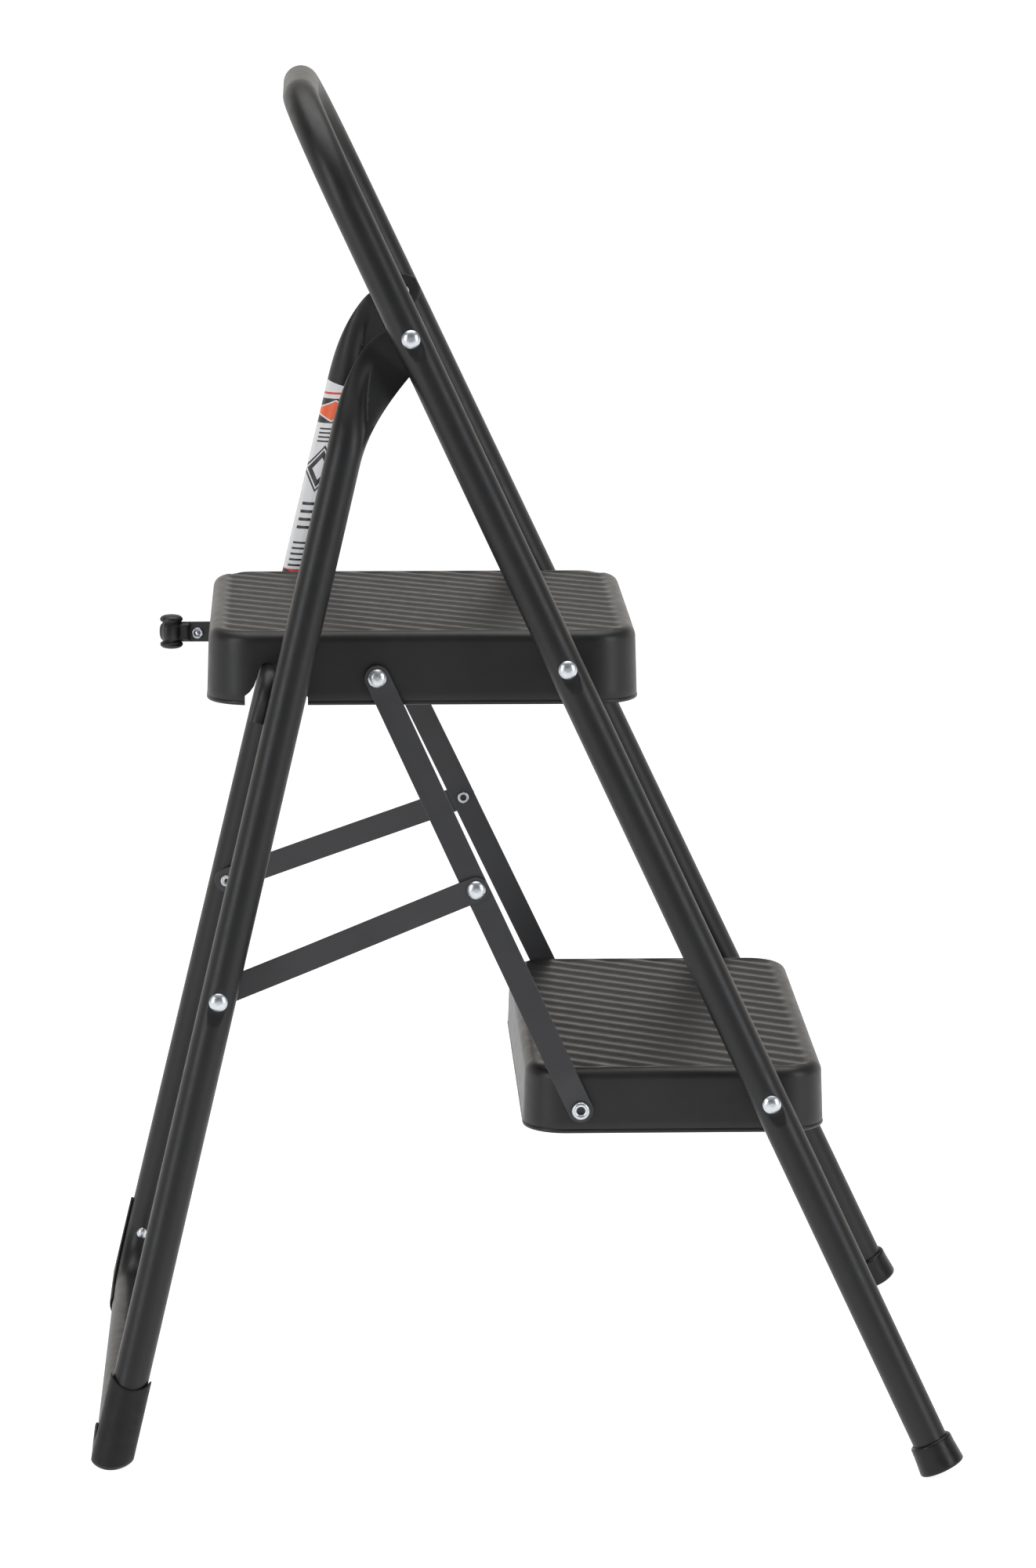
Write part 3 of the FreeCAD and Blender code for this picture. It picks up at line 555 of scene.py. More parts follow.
def ear_path(t):
    """Centre and heading from the top of the straight leg (t = 0) to the flat ear (t = 1)."""
    start, heading = rear_point(LEG_STRAIGHT_Z), -REAR_DOWN
    end = point(EAR_OUTER_X - EAR_THICK / 2, *FRAME_PIVOT) - EAR_DIR * EAR_REACH
    arrival = EAR_DIR - Vector((EAR_SPLAY, 0, 0))
    span = (end - start).length
    centre = (start * (2 * t**3 - 3 * t**2 + 1) + heading * ((t**3 - 2 * t**2 + t) * span)
              + end * (3 * t**2 - 2 * t**3) + arrival * ((t**3 - t**2) * span))
    turn = smooth(t, 0, 1)
    return centre, (heading * (1 - turn) + EAR_DIR * turn).normalized()


def ear_rings():
    """Rings of the right ear, from above the straight leg round to the ear's end."""
    rings = [ear_section(i / EAR_RINGS, *ear_path(i / EAR_RINGS)) for i in range(1, EAR_RINGS + 1)]
    pivot = point(EAR_OUTER_X - EAR_THICK / 2, *FRAME_PIVOT)
    wide = EAR_DIR.cross(Vector((1, 0, 0))).normalized()
    for i in range(1, EAR_END_RINGS + 1):
        t = i / EAR_END_RINGS
        before = EAR_REACH * (1 - t) - EAR_END_R * t        # short of the pivot by this much
        size = EAR_WIDTH / 2 + (EAR_END_R - EAR_WIDTH / 2) * smooth(t, *EAR_NARROWS)
        if before < 0:
            round_end = EAR_END_R * math.sqrt(max(0.0, 1 - (before / EAR_END_R) ** 2))
            size = max(EAR_TIP, min(size, round_end))
        ring = []
        for j in range(EAR_SEGMENTS):
            a = 2 * math.pi * j / EAR_SEGMENTS
            flat = EAR_THICK / 2 * (1 - abs(math.cos(a)) ** EAR_SQUARE) ** 0.5
            ring.append(pivot - EAR_DIR * before + wide * (math.cos(a) * size)
                        + Vector((1, 0, 0)) * math.copysign(flat, math.sin(a)))
        rings.append(ring)
    return rings


def match(ring, guide):
    """Turns and, where needed, reverses a ring so that its points line up with the guide's."""
    count = len(ring)
    middle = sum(ring, Vector()) / count
    aim = sum(guide, Vector()) / count
    best = None
    for order in (ring, list(reversed(ring))):
        for shift in range(count):
            cost = sum(((order[(i + shift) % count] - middle).normalized()
                        - (guide[i] - aim).normalized()).length_squared
                       for i in range(0, count, 4))
            if best is None or cost < best[0]:
                best = (cost, order[shift:] + order[:shift])
    return best[1]


def rear_frame():
    corners = [rear_point(LEG_STRAIGHT_Z), rear_point(REAR_BAR_Z), rear_point(REAR_BAR_Z, -1),
               rear_point(LEG_STRAIGHT_Z, -1)]
    dense = [rear_point(LINK_LEG_Z), rear_point(LINK_LEG_Z, -1)]
    points = bend_path(corners, REAR_BEND, dense=dense)
    rings = []
    for here, heading in zip(points, tangents(points)):
        side = REAR_NORMAL.cross(heading).normalized()
        rings.append(round_ring(here, REAR_NORMAL, side, EAR_SEGMENTS))
    press_spots(rings, [LINK_ON_LEG])
    ear = ear_rings()
    right = [match(ring, rings[0]) for ring in ear]
    left = [match(ring, rings[-1]) for ring in mirrored(ear)]
    verts, faces = skin(list(reversed(right)) + rings + left)
    piece = make_piece("rear_frame_tube_skin", verts, faces, "rear_frame", TUBE)
    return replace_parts(piece, "rear_frame_tube")


def leg_label():
    """Thin film that follows the right rear leg's inner side up into its bend."""
    film, lift, columns, straight_rows, bent_rows = 0.2, 0.02, 28, 24, 8
    straight = LEG_STRAIGHT_Z - LABEL_LOW
    stations = [(0.0, rear_point(LABEL_LOW + straight * i / straight_rows), -REAR_DOWN)
                for i in range(straight_rows + 1)]
    stations += [(t, *ear_path(t))
                 for t in (LABEL_TOP_T * i / bent_rows for i in range(1, bent_rows + 1))]
    turns = [LABEL_REAR + (LABEL_FRONT - LABEL_REAR) * i / columns for i in range(columns + 1)]
    rings = []
    for t, centre, heading in stations:
        wide, thin = ear_frame(heading)
        inward = -1 if thin.x > 0 else 1
        forward = 1 if wide.y < 0 else -1
        ring = []
        for above, order in ((film, 1), (lift, -1)):
            for a in turns[::order]:
                angle = math.atan2(inward * math.cos(a), forward * math.sin(a))
                across, through = ear_outline(t, angle)
                off = wide * across + thin * through
                ring.append(centre + off + off.normalized() * above)
        rings.append(ring)
    verts, faces = skin(rings)
    piece = make_piece("rear_leg_label_film", verts, faces, "rear_frame", LABEL)
    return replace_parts(piece, "rear_leg_label")


# ---------------------------------------------------------------- steps

RIB_PITCH, RIB_DEPTH = 17.0, 1.2
RIB_TURN = math.radians(34)
RIBS_FROM_END, RIBS_FROM_SIDE = (9.5, 15.0), (7.5, 12.0)     # where the ribs rise to full depth
TREAD_ROWS, BROW_ROWS, SKIRT_ROWS, INNER_BROW_ROWS = 13, 10, 8, 6
HEM_TURN = range(-50, 231, 20)      # degrees the hem is rolled through
HEM_LEDGE = 0.6             # the skirt ends this far above the hem bead
TREAD_GRID, CORNER_FAN = 1.7, 14


def groove_depth(step, x, u):
    """How far the ribbed tread lies below its top. The ribs run slantwise across it."""
    rear, front, half = step[:3]
    s = (u * math.sin(RIB_TURN) + x * math.cos(RIB_TURN)) / RIB_PITCH
    wave = 0.5 - 0.5 * math.cos(2 * math.pi * s)
    ends = smooth(min(u - rear, front - u), *RIBS_FROM_END)
    sides = smooth(half - abs(x), *RIBS_FROM_SIDE)
    return RIB_DEPTH * wave * ends * sides


def pan_profile(step):
    """(distance in from the edge, height) from the flat tread round the hem and back inside."""
    top, bottom, corner = step[3:]
    lean = SKIRT_INSET + SKIRT_DRAFT
    flat_end = lean + BROW_R
    brow_low, hem_top = top - BROW_R, bottom + 2 * HEM_R
    skirt_low = hem_top + HEM_LEDGE
    outer = [(corner + (flat_end - corner) * i / TREAD_ROWS, top) for i in range(TREAD_ROWS + 1)]
    for i in range(1, BROW_ROWS + 1):
        a = math.pi / 2 * i / BROW_ROWS
        outer.append((flat_end - BROW_R * math.sin(a), brow_low + BROW_R * math.cos(a)))
    for i in range(1, SKIRT_ROWS + 1):
        t = i / SKIRT_ROWS
        outer.append((lean - SKIRT_DRAFT * t, brow_low + (skirt_low - brow_low) * t))
    hem = [(HEM_R - HEM_R * math.cos(a), bottom + HEM_R - HEM_R * math.sin(a))
           for a in map(math.radians, HEM_TURN)]
    inner = [(SKIRT_INSET + PAN_T, skirt_low + 0.1), (lean + PAN_T, brow_low)]
    brow = BROW_R - PAN_T
    for i in range(1, INNER_BROW_ROWS + 1):
        a = math.pi / 2 * i / INNER_BROW_ROWS
        inner.append((flat_end - brow * math.cos(a), brow_low + brow * math.sin(a)))
    for i in range(1, TREAD_ROWS + 1):
        inner.append((flat_end + (corner - flat_end) * i / TREAD_ROWS, top - PAN_T))
    return outer, hem + inner


def pan_mesh(step):
    """Closed sheet-metal tray: ribbed tread, rounded brow, skirt and rolled hem."""
    rear, front, half, top, bottom, corner = step
    reach_x, low_u, high_u = half - corner, rear + corner, front - corner
    nx, nu = int(2 * reach_x / TREAD_GRID), int((high_u - low_u) / TREAD_GRID)
    xs = [-reach_x + 2 * reach_x * i / nx for i in range(nx + 1)]
    us = [low_u + (high_u - low_u) * j / nu for j in range(nu + 1)]
    verts, faces = [], []

    def add(x, u, z):
        if z >= top - PAN_T - 1e-6:
            z -= groove_depth(step, x, u)
        verts.append(point(x, u, z))
        return len(verts) - 1

    def grid(z):
        return [[add(x, u, z) for x in xs] for u in us]

    # Round the grid's edge: each place with the direction that leads outward from it
    edges = [[(x, low_u) for x in xs], [(reach_x, u) for u in us],
             [(x, high_u) for x in reversed(xs)], [(-reach_x, u) for u in reversed(us)]]
    rim = []
    for turn, edge in zip((-90, 0, 90, 180), edges):
        out = (round(math.cos(math.radians(turn))), round(math.sin(math.radians(turn))))
        rim += [(x, u, *out) for x, u in edge]
        for i in range(1, CORNER_FAN):
            a = math.radians(turn + 90 * i / CORNER_FAN)
            rim.append((*edge[-1], math.cos(a), math.sin(a)))

    def rim_of(cells):
        index = []
        for edge in (cells[0], [row[-1] for row in cells], cells[-1][::-1],
                     [row[0] for row in reversed(cells)]):
            index += edge + [edge[-1]] * (CORNER_FAN - 1)
        return index

    upper, lower = grid(top), grid(top - PAN_T)
    for j in range(nu):
        for i in range(nx):
            faces.append((upper[j][i], upper[j][i + 1], upper[j + 1][i + 1], upper[j + 1][i]))
            faces.append((lower[j][i], lower[j + 1][i], lower[j + 1][i + 1], lower[j][i + 1]))
    outer, inner = pan_profile(step)
    previous = rim_of(upper)
    for d, z in (outer + inner)[1:-1]:
        reach = corner - d
        current = [add(x + out_x * reach, u + out_u * reach, z) for x, u, out_x, out_u in rim]
        join(faces, previous, current)
        previous = current
    join(faces, previous, rim_of(lower))
    return verts, faces


def join(faces, first, second):
    """Faces between two loops of indices, without the sides that have shrunk to a point."""
    count = len(first)
    for i in range(count):
        j = (i + 1) % count
        face = []
        for index in (first[j], first[i], second[i], second[j]):
            if index not in face:
                face.append(index)
        if len(face) > 2:
            faces.append(tuple(face))


# Cut in each side skirt, so that the step drops over the catch bar and the latch can turn
BAR_NOTCH = [(60.5, 470.0), (60.5, 482.4), (63.6, 485.0), (66.2, 488.6), (68.2, 494.0),
             (69.6, 498.6), (70.6, 501.6), (72.8, 503.1), (82.0, 503.1), (85.5, 501.9),
             (88.0, 498.6), (99.7, 481.5), (99.7, 470.0)]
SLOT_HALF, SLOT_LOW, SLOT_HIGH = 4.0, 493.0, 513.5
SKIRT_CUT, SLOT_CUT = 8, 6          # each cut reaches this far to both sides of the skirt


def steps():
    verts, faces = pan_mesh(TOP_STEP)
    top = make_piece("top_step_tread", verts, faces, "top_step", TREAD)
    half, rear = TOP_STEP[2], TOP_STEP[0]
    slot = [(rear - SLOT_CUT, SLOT_LOW), (rear - SLOT_CUT, SLOT_HIGH),
            (rear + SLOT_CUT, SLOT_HIGH), (rear + SLOT_CUT, SLOT_LOW)]
    for outline, x_from, x_to in ((BAR_NOTCH, half - SKIRT_CUT, half + SKIRT_CUT),
                                  (BAR_NOTCH, -half - SKIRT_CUT, -half + SKIRT_CUT),
                                  (slot, -SLOT_HALF, SLOT_HALF)):
        combine(top, "DIFFERENCE", *side_prism(outline, x_from, x_to))
    shade(top, 35.0)
    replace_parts(top, "top_step_pan")
    verts, faces = pan_mesh(LOW_STEP)
    low = make_piece("lower_step_tread", verts, faces, "lower_step", TREAD)
    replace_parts(low, "lower_step_pan")


# ---------------------------------------------------------------- straps

STRAP_EDGE, STRAP_FAN, STRAP_SPACING = 0.35, 14, 3
EASING = 1.5                # each bend is averaged over two of these on either side
STRAP_GAP = 0.3             # between a strap and what it is riveted to
LINK_X = 151.0              # inner face of the long brace where the short link joins it
LINK_LEAN, LEAN_FROM, LEAN_TO = 0.105, 9, 60    # the short link first leans with the leg
LEG_GAP = 1.5               # between the short link and the leg


def strap(name, begin, end, profile, body, side):
    """Flat strap with round ends. profile gives (distance along, inner x) bends."""
    run = Vector((0, -(end[0] - begin[0]), end[1] - begin[1]))
    length = run.length
    along = run / length
    across = Vector((1, 0, 0)).cross(along)
    half = STRAP_W / 2

    def inner_x(at):
        for (a, xa), (b, xb) in zip(profile, profile[1:]):
            if at <= b:
                t = (at - a) / (b - a)
                return xa + (xb - xa) * t
        return profile[-1][1]

    def eased_x(at):
        return sum(inner_x(at + EASING * k) for k in range(-2, 3)) / 5

    fan = [math.pi / 2 * i / STRAP_FAN for i in range(STRAP_FAN + 1)]
    stations = [(-half * math.cos(a), half * math.sin(a)) for a in fan[1:]]
    count = int(length / STRAP_SPACING)
    stations += [(length * i / count, half) for i in range(1, count)]
    stations += [(length + half * math.sin(a), half * math.cos(a)) for a in fan[:-1]]
    rings = []
    for at, reach in stations:
        x = eased_x(at)
        origin = point(0, *begin) + along * at
        flat, thick, edge = reach - STRAP_EDGE, STRAP_T - STRAP_EDGE, STRAP_EDGE
        loop = [(-flat, 0), (flat, 0), (reach, edge), (reach, thick),
                (flat, STRAP_T), (-flat, STRAP_T), (-reach, thick), (-reach, edge)]
        rings.append([origin + across * w + Vector((x + h, 0, 0)) for w, h in loop])
    verts, faces = skin(rings if side > 0 else mirrored(rings))
    piece = make_piece(name + "_bar", verts, faces, body, STRAP, sharp=25.0)
    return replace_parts(piece, name)


def straps():
    top = (TOP_PIVOT[0] + BRACE_OFFSET[0], TOP_PIVOT[1] + BRACE_OFFSET[1])
    low = (LOW_PIVOT[0] + BRACE_OFFSET[0], LOW_PIVOT[1] + BRACE_OFFSET[1])
    link = tuple(a + (b - a) * LINK_SHARE for a, b in zip(top, low))
    length = math.hypot(low[0] - top[0], low[1] - top[1])
    at_link = LINK_SHARE * length
    top_x, low_x = TOP_STEP[2] + STRAP_GAP, LOW_STEP[2] + STRAP_GAP
    brace = [(-10, top_x), (12, top_x), (at_link - 13, LINK_X), (at_link + 13, LINK_X),
             (length - 24, low_x), (length + 10, low_x)]
    leg_x = half_width(LINK_LEG_Z) - TUBE_R - LEG_GAP - STRAP_T
    brace_x = LINK_X + STRAP_T + STRAP_GAP
    run = math.hypot(link[0] - LINK_ON_LEG[0], link[1] - LINK_ON_LEG[1])
    short = [(-10, leg_x), (LEAN_FROM, leg_x),
             (LEAN_TO, leg_x - LINK_LEAN * (LEAN_TO - LEAN_FROM)),
             (run - 8.5, brace_x), (run + 10, brace_x)]
    for word, side in (("left", -1), ("right", 1)):
        strap("long_brace_" + word, top, low, brace, "long_brace_" + word, side)
        strap("short_link_" + word, LINK_ON_LEG, link, short, "short_link_" + word, side)


# ---------------------------------------------------------------- catch bar and latch knob

BAR_U, BAR_Z, BAR_R = 76.2, 496.5, 6.35
BAR_END_Z, BAR_BEND, WELD_BITE = 470.0, 14.0, 0.25
BAR_PRESS, PRESS_FROM, PRESS_TO = 0.42, 1, 19       # how flat the ends are, and how far up
BAR_SEGMENTS, BAR_RING_GAP = 32, 0.8


def catch_bar():
    """Bar across the rear legs. Its turned-down ends are pressed flat where they are welded."""
    leg_u = REAR_FOOT_U + REAR_LEAN * BAR_Z
    back = leg_u - BAR_U
    inward = math.sqrt((TUBE_R + BAR_R - WELD_BITE) ** 2 - back ** 2)
    corner = point(half_width(BAR_Z) - inward, BAR_U, BAR_Z)
    tail = corner + REAR_DOWN * ((BAR_Z - BAR_END_Z) / abs(REAR_DOWN.z))
    corners = [tail, corner] + [Vector((-v.x, v.y, v.z)) for v in (corner, tail)]
    points = []
    for here in bend_path(corners, BAR_BEND, step_deg=6, spacing=30, dense=(tail, corners[3])):
        if not points or (here - points[-1]).length > BAR_RING_GAP:
            points.append(here)
    rings = []
    for here, heading in zip(points, tangents(points)):
        side = REAR_NORMAL.cross(heading).normalized()
        up = smooth(here.z, BAR_END_Z + PRESS_FROM, BAR_END_Z + PRESS_TO)
        half = BAR_R * (1 - BAR_PRESS * (1 - up))
        turns = [2 * math.pi * i / BAR_SEGMENTS for i in range(BAR_SEGMENTS)]
        rings.append([here + REAR_NORMAL * (math.cos(a) * BAR_R) + side * (math.sin(a) * half)
                      for a in turns])
    verts, faces = skin(rings)
    piece = make_piece("rear_catch_bar_skin", verts, faces, "rear_frame", TUBE)
    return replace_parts(piece, "rear_catch_bar")


KNOB_U, KNOB_Z, KNOB_HALF_H = 11.4, 502.2, 11.0
GRIP_U = KNOB_U + 0.6
# The lip from the knob's end to its middle: radius, and height above the end
KNOB_LIP = [(1.5, 0.02), (3.4, 0.15), (5.1, 0.5), (6.4, 1.1), (7.1, 1.9), (7.4, 2.8), (7.25, 3.6),
            (6.7, 4.2), (5.9, 4.6), (5.6, 5.0), (5.8, 5.5), (6.5, 6.4), (7.0, 7.6), (7.3, 9.2)]
KNOB_MIDDLE_R = 7.35
LOBES, LOBE_HIGH, LOBE_INSET = 6, 0.45, 0.1
LOBES_FADE = (4.2, 6.2)             # above and below the knob's middle
KNOB_RIVET = (28.9, 501.4)
RIVET_R, TAIL_R, TAIL_EDGE, TAIL_HIGH = 1.8, 2.9, 0.2, 0.8
TANG_HALF, TANG_LOW, TANG_HIGH, TANG_END, TANG_CUT = 1.27, 495.6, 508.6, 8.9, 40.0
NECK_HALF, NECK_LOW, NECK_HIGH, NECK_FRONT, NECK_EDGE = 4.0, 496.2, 508.2, 24.0, 1.2


def latch_knob():
    """Moulded finger grip: two domed lips, a lobed middle and a neck over the lever's tang."""
    lip = [(r, above - KNOB_HALF_H) for r, above in KNOB_LIP]
    profile = ([(0, -KNOB_HALF_H)] + lip + [(KNOB_MIDDLE_R, 0.0)]
               + [(r, -z) for r, z in reversed(lip)] + [(0, KNOB_HALF_H)])
    verts, faces = lathe(profile, point(0, GRIP_U, KNOB_Z), (0, 0, 1), 60)
    middle = point(0, GRIP_U, 0)
    for v in verts:
        away = Vector((v.x - middle.x, v.y - middle.y, 0))
        grip = 1 - smooth(abs(v.z - KNOB_Z), *LOBES_FADE)
        if away.length > 1:
            turn = math.atan2(away.x, away.y)
            v += away.normalized() * (LOBE_HIGH * math.cos(LOBES * turn) - LOBE_INSET) * grip
    piece = make_piece("latch_knob_grip", verts, faces, "latch", KNOB)
    half, half_high = NECK_HALF, (NECK_HIGH - NECK_LOW) / 2
    flat, flat_high = half - NECK_EDGE, half_high - NECK_EDGE
    loop = [(-flat, -half_high), (flat, -half_high), (half, -flat_high), (half, flat_high),
            (flat, half_high), (-flat, half_high), (-half, flat_high), (-half, -flat_high)]
    middle_z = (NECK_LOW + NECK_HIGH) / 2
    rings = []
    for u, size in ((KNOB_U, 0.94), (KNOB_U + 6, 0.94), (NECK_FRONT - 3.0, 0.97),
                    (NECK_FRONT - 0.8, 1.0), (NECK_FRONT, 0.86)):
        rings.append([point(x * size, u, middle_z + z * size) for x, z in loop])
    combine(piece, "UNION", *skin(rings))
    tang = [(TANG_END, TANG_LOW), (TANG_END, TANG_HIGH),
            (TANG_CUT, TANG_HIGH), (TANG_CUT, TANG_LOW)]
    combine(piece, "DIFFERENCE", *side_prism(tang, -TANG_HALF, TANG_HALF))
    shade(piece, 40.0)
    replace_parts(piece, "latch_knob")

    far = -2 * TANG_HALF                # the tang's far face, from the head's side
    profile = ([(0, 1.3), (0.7, 1.22), (1.3, 0.95), (1.75, 0.55), (1.95, 0.35)]
               + arc(2.85, 0.55, 0.75, 200, -20, 10)
               + [(3.6, 0.12), (3.55, 0.0), (RIVET_R, 0.0), (RIVET_R, far),
                  (TAIL_R - TAIL_EDGE, far), (TAIL_R, far - TAIL_EDGE),
                  (TAIL_R, far - TAIL_HIGH + TAIL_EDGE), (TAIL_R - TAIL_EDGE, far - TAIL_HIGH),
                  (0, far - TAIL_HIGH)])
    verts, faces = lathe(list(reversed(profile)), point(-TANG_HALF, *KNOB_RIVET), (-1, 0, 0), 40)
    rivet = make_piece("latch_knob_rivet_head", verts, faces, "latch", ZINC)
    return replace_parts(rivet, "latch_knob_rivet")


# ---------------------------------------------------------------- boots and tips

BOOT_TOP_Z, BOOT_RUN, BOOT_WALL, BOOT_GAP = 68.0, 74.0, 1.85, 0.05
BOOT_SPACING, BOOT_COLUMNS = 3.0, 34
BOOT_EDGE, MOUTH_OPENS = 0.5, 0.6   # rounding of an open end, outside and inside
DIP_R, DIP_ABOVE, DIP_FADE = 16.0, 8.5, 22
BOOT_LIP, HEEL_REACH = 97, 89       # degrees round to the channel's edge, and as far as the heel
LIP_ROUND = 2.0                     # degrees the rounded edge runs on past the lip
HEEL_Z, HEEL_SIDE_RISE = 12.3, 3.0
HEEL_SKIN = 1.4                     # walls this far off the tube take part in the heel


def boots():
    """Moulded channels over the bottom bends, dipped at the top and flat where they stand."""
    bottom = rear_point(REAR_BAR_Z)
    points = bend_path([rear_point(BOOT_TOP_Z), bottom, bottom - Vector((BOOT_RUN, 0, 0))],
                       REAR_BEND, step_deg=4, spacing=BOOT_SPACING)
    run = [0.0]
    for a, b in zip(points, points[1:]):
        run.append(run[-1] + (b - a).length)
    slope = math.hypot(1, REAR_LEAN)
    normal = REAR_NORMAL
    inner, outer = TUBE_R + BOOT_GAP, TUBE_R + BOOT_GAP + BOOT_WALL
    lip, past_lip = math.radians(BOOT_LIP), math.radians(BOOT_LIP + LIP_ROUND)
    angles = [lip * (2 * i / BOOT_COLUMNS - 1) for i in range(BOOT_COLUMNS + 1)]
    turn_out = 1 if REAR_DOWN.cross(normal).x > 0 else -1
    headings = tangents(points)
    last = len(points) - 1

    def outward(heading):
        return heading.cross(normal).normalized() * turn_out

    def section(ease):
        """(radius, angle) round the channel; ease pulls the wall in at an open end."""
        low, high = inner + ease * MOUTH_OPENS, outer - ease * BOOT_EDGE
        loop = [(high - (BOOT_EDGE / 2 if i in (0, BOOT_COLUMNS) else 0), a)
                for i, a in enumerate(angles)]
        loop += [((low + high) / 2, past_lip)]
        loop += [(low, a) for a in reversed(angles)]
        loop += [((low + high) / 2, -past_lip)]
        return loop

    # The tube's bend: its headings differ from the leg's and from the level bar's
    bend = [k for k, heading in enumerate(headings)
            if abs(heading.x) < 0.999 and (heading - headings[0]).length > 0.02]
    first, after = bend[0] - 1, bend[-1] + 1

    def heel(v, k, across, radius, angle):
        """Carries the outer wall straight down to a heel edge, then in along a sloping sole."""
        share = 1 - smooth(abs(angle), math.radians(HEEL_REACH), lip)
        if k <= first or k >= after or not share:
            return v
        t = (k - first) / (after - first)
        wall = points[first] + outward(headings[0]) * (radius * math.cos(angle)) + normal * across
        heel_z = HEEL_Z + HEEL_SIDE_RISE * math.sin(angle) ** 2
        corner = wall + headings[0] * ((wall.z - heel_z) / -headings[0].z)
        landing = points[after] + Vector((0, 0, -radius * math.cos(angle))) + normal * across
        target = wall.lerp(corner, t * 2) if t < 0.5 else corner.lerp(landing, t * 2 - 1)
        return v.lerp(target, share)

    # Ring by ring: which path point, how far along from it, and how far the open end is eased
    plan = [(0, 0.0, 1.0), (0, 0.5, 0.25), (0, 1.0, 0.0)]
    plan += [(k, 0.0, 0.0) for k in range(1, last)]
    plan += [(last, -1.0, 0.0), (last, -0.4, 0.3), (last, 0.0, 1.0)]
    rings = []
    for k, shift, ease in plan:
        fade = max(0.0, 1 - run[k] / DIP_FADE)
        ring = []
        for radius, angle in section(ease):
            across = radius * math.sin(angle)
            dip = math.sqrt(max(0.0, DIP_R ** 2 - across ** 2)) - DIP_ABOVE * slope
            v = (points[k] + headings[k] * (shift + max(0.0, dip) * fade)
                 + outward(headings[k]) * (radius * math.cos(angle)) + normal * across)
            if radius > TUBE_R + HEEL_SKIN:
                v = heel(v, k, across, radius, angle)
            ring.append(Vector((v.x, v.y, max(0.0, v.z))))
        rings.append(ring)
    for word, shape in (("right", rings), ("left", mirrored(rings))):
        verts, faces = skin(shape)
        piece = make_piece("rear_boot_%s_shell" % word, verts, faces, "rear_frame",
                           BOOT)
        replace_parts(piece, "rear_boot_" + word)


TIP_FACE_Z, TIP_LENGTH, TIP_TOP_R, TIP_SOLE_R, TIP_FLOOR = 5.6, 19.5, 13.4, 14.6, 6.0


def foot_tips():
    """Rubber tips: rounded sole, slightly waisted side and a rolled shoulder at the mouth."""
    bore = TUBE_R + 0.03
    sole, mouth = 1.8, 2.0              # rounding of the sole's edge and of the mouth
    profile = [(0, 0), (TIP_SOLE_R - 2.2, 0.0)] + arc(TIP_SOLE_R - sole, sole, sole, -80, 0, 7)
    profile += [(TIP_SOLE_R - 0.25, 5.0), (TIP_SOLE_R - 0.6, 9.0), (TIP_TOP_R + 0.25, 13.5)]
    profile += arc(TIP_TOP_R - mouth + 0.1, TIP_LENGTH - mouth, mouth, 0, 80, 8)
    profile += [(bore, TIP_LENGTH - 0.15), (bore, TIP_FLOOR), (0, TIP_FLOOR)]
    for side, word in ((1, "right"), (-1, "left")):
        axis = (front_point(100, side) - front_point(0, side)).normalized()
        verts, faces = lathe(profile, front_point(TIP_FACE_Z, side), axis, 64)
        for v in verts:
            v.z = max(0.0, v.z)
        piece = make_piece("front_foot_tip_%s_rubber" % word, verts, faces, "front_frame",
                           RUBBER, sharp=50.0)
        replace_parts(piece, "front_foot_tip_" + word)


# ---------------------------------------------------------------- stage and camera

def area_light(name, place, aim, width, height, watts, colour):
    data = bpy.data.lights.new(name, "AREA")
    data.shape = "RECTANGLE"
    data.size, data.size_y = width, height
    data.energy = watts
    data.color = colour
    light = bpy.data.objects.new(name, data)
    light.location = place
    light.rotation_euler = (Vector(aim) - Vector(place)).to_track_quat("-Z", "Y").to_euler()
    light.visible_camera = False
    bpy.context.scene.collection.objects.link(light)


# Studio walls, by the sine of the height above the horizon
GREY_TOP, WARM = (0.34, 0.34, 0.35), (1.0, 0.965, 0.90)
DIM_SIDE = [(0.0, GREY_TOP), (0.12, (0.30, 0.30, 0.31)), (0.40, (0.13, 0.13, 0.135)),
            (1.0, GREY_TOP)]
BRIGHT_SIDE = [(0.0, WARM), (0.20, WARM), (0.50, (0.22, 0.215, 0.21)), (1.0, GREY_TOP)]
WALL_STRENGTH = 1.25
FLOOR_HALF = 150.0
FLOOR_DARK, FLOOR_LIGHT, FLOOR_MOTTLE = (0.50, 0.50, 0.50), (0.52, 0.52, 0.52), 900.0


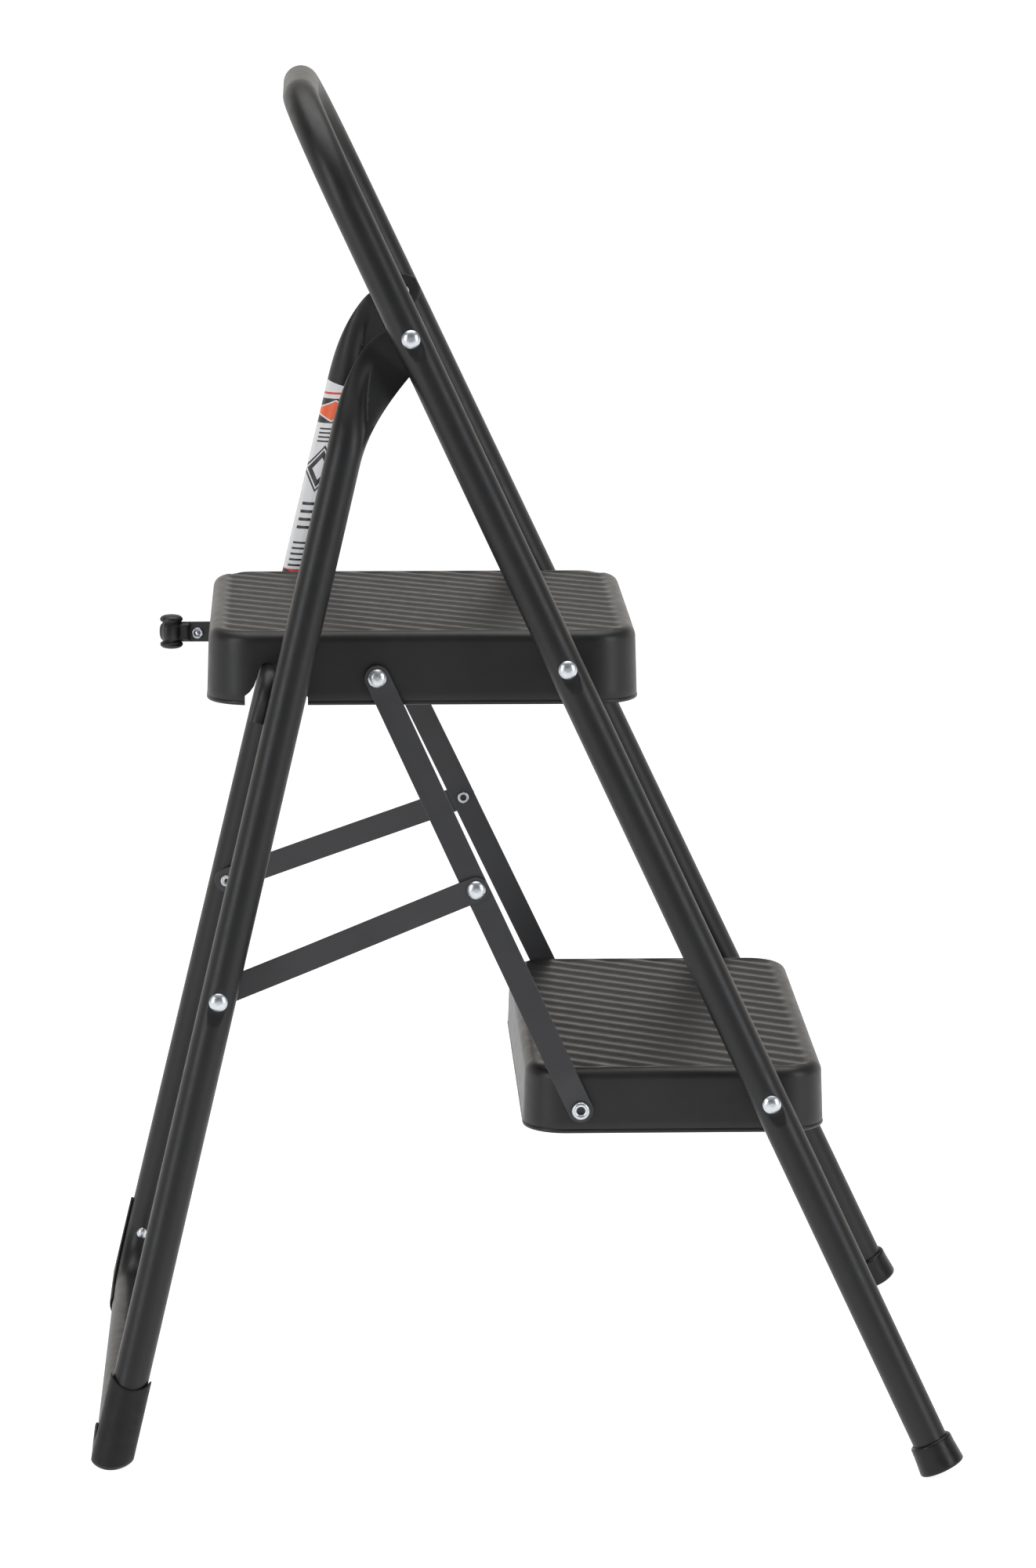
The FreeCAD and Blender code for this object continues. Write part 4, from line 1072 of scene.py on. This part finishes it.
def stage():
    scene = bpy.context.scene
    mesh = bpy.data.meshes.new("floor")
    mesh.from_pydata([(x * FLOOR_HALF, y * FLOOR_HALF, 0)
                      for x, y in ((-1, -1), (1, -1), (1, 1), (-1, 1))], [], [(0, 1, 2, 3)])
    floor = bpy.data.objects.new("floor", mesh)
    scene.collection.objects.link(floor)
    pale = Surface("pale_floor", specular=0.1)
    mottle = pale.ramp(pale.noise(FLOOR_MOTTLE, 2.0), [(0.3, FLOOR_DARK), (0.7, FLOOR_LIGHT)])
    pale.link(mottle, "Base Color")
    pale.shader.inputs["Roughness"].default_value = 0.9
    pale.shader.inputs["Emission Color"].default_value = (1, 1, 1, 1)
    across = pale.node("ShaderNodeSeparateXYZ", Vector=pale.place)
    near = pale.node("ShaderNodeMapRange", Value=across.outputs["X"])
    near.interpolation_type = "SMOOTHSTEP"
    set_range(near, -3.0, -0.5, 0.22, 0.86)
    pale.link(near.outputs["Result"], "Emission Strength")
    mesh.materials.append(pale.material)

    world = bpy.data.worlds.new("studio")
    world.use_nodes = True
    tree = world.node_tree
    background = tree.nodes["Background"]
    where = tree.nodes.new("ShaderNodeTexCoord")
    split = tree.nodes.new("ShaderNodeSeparateXYZ")
    side = tree.nodes.new("ShaderNodeMapRange")
    side.interpolation_type = "SMOOTHSTEP"
    set_range(side, -0.25, 0.75)
    tree.links.new(where.outputs["Generated"], split.inputs["Vector"])
    tree.links.new(split.outputs["X"], side.inputs["Value"])
    blend = tree.nodes.new("ShaderNodeMixRGB")
    tree.links.new(side.outputs["Result"], blend.inputs["Fac"])
    for socket, stops in (("Color1", DIM_SIDE), ("Color2", BRIGHT_SIDE)):
        fade = tree.nodes.new("ShaderNodeValToRGB")
        tree.links.new(split.outputs["Z"], fade.inputs["Fac"])
        tree.links.new(fade.outputs["Color"], blend.inputs[socket])
        set_stops(fade.color_ramp, stops)
    tree.links.new(blend.outputs["Color"], background.inputs["Color"])
    background.inputs["Strength"].default_value = WALL_STRENGTH
    scene.world = world

    for name, y in (("left_box", 2.05), ("right_box", -2.05)):
        area_light(name, (-1.75, y, 1.15), (0, 0, 0.5), 0.9, 1.9, 26, (0.97, 0.985, 1.0))
    area_light("top_box", (0.2, 0.0, 2.6), (0, 0, 0.3), 2.2, 2.2, 40, (1.0, 0.985, 0.96))


# The view: from which side, how far down, how far off, and the point looked at
CAMERA_AZIMUTH, CAMERA_DIP, CAMERA_ROLL = 2.067, 10.765, 0.105
CAMERA_DISTANCE, CAMERA_LENS = 3.787, 133.95
CAMERA_AIM = Vector((0.0, -0.0009, 0.4010))


def camera():
    data = bpy.data.cameras.new("camera")
    data.lens = CAMERA_LENS
    data.sensor_width = 36.0
    data.clip_end = 400.0
    view = bpy.data.objects.new("camera", data)
    turn, dip = math.radians(CAMERA_AZIMUTH), math.radians(CAMERA_DIP)
    forward = Vector((math.cos(turn) * math.cos(dip), -math.sin(turn) * math.cos(dip),
                      -math.sin(dip)))
    view.location = CAMERA_AIM - forward * CAMERA_DISTANCE
    level = forward.to_track_quat("-Z", "Y").to_matrix()
    view.rotation_euler = (level @ Matrix.Rotation(math.radians(CAMERA_ROLL), 3, "Z")).to_euler()
    bpy.context.scene.collection.objects.link(view)
    bpy.context.scene.camera = view
    bpy.context.scene.view_settings.view_transform = "Standard"


dress_cad_nodes()
front_frame()
rear_frame()
leg_label()
steps()
straps()
catch_bar()
latch_knob()
boots()
foot_tips()
stage()
camera()
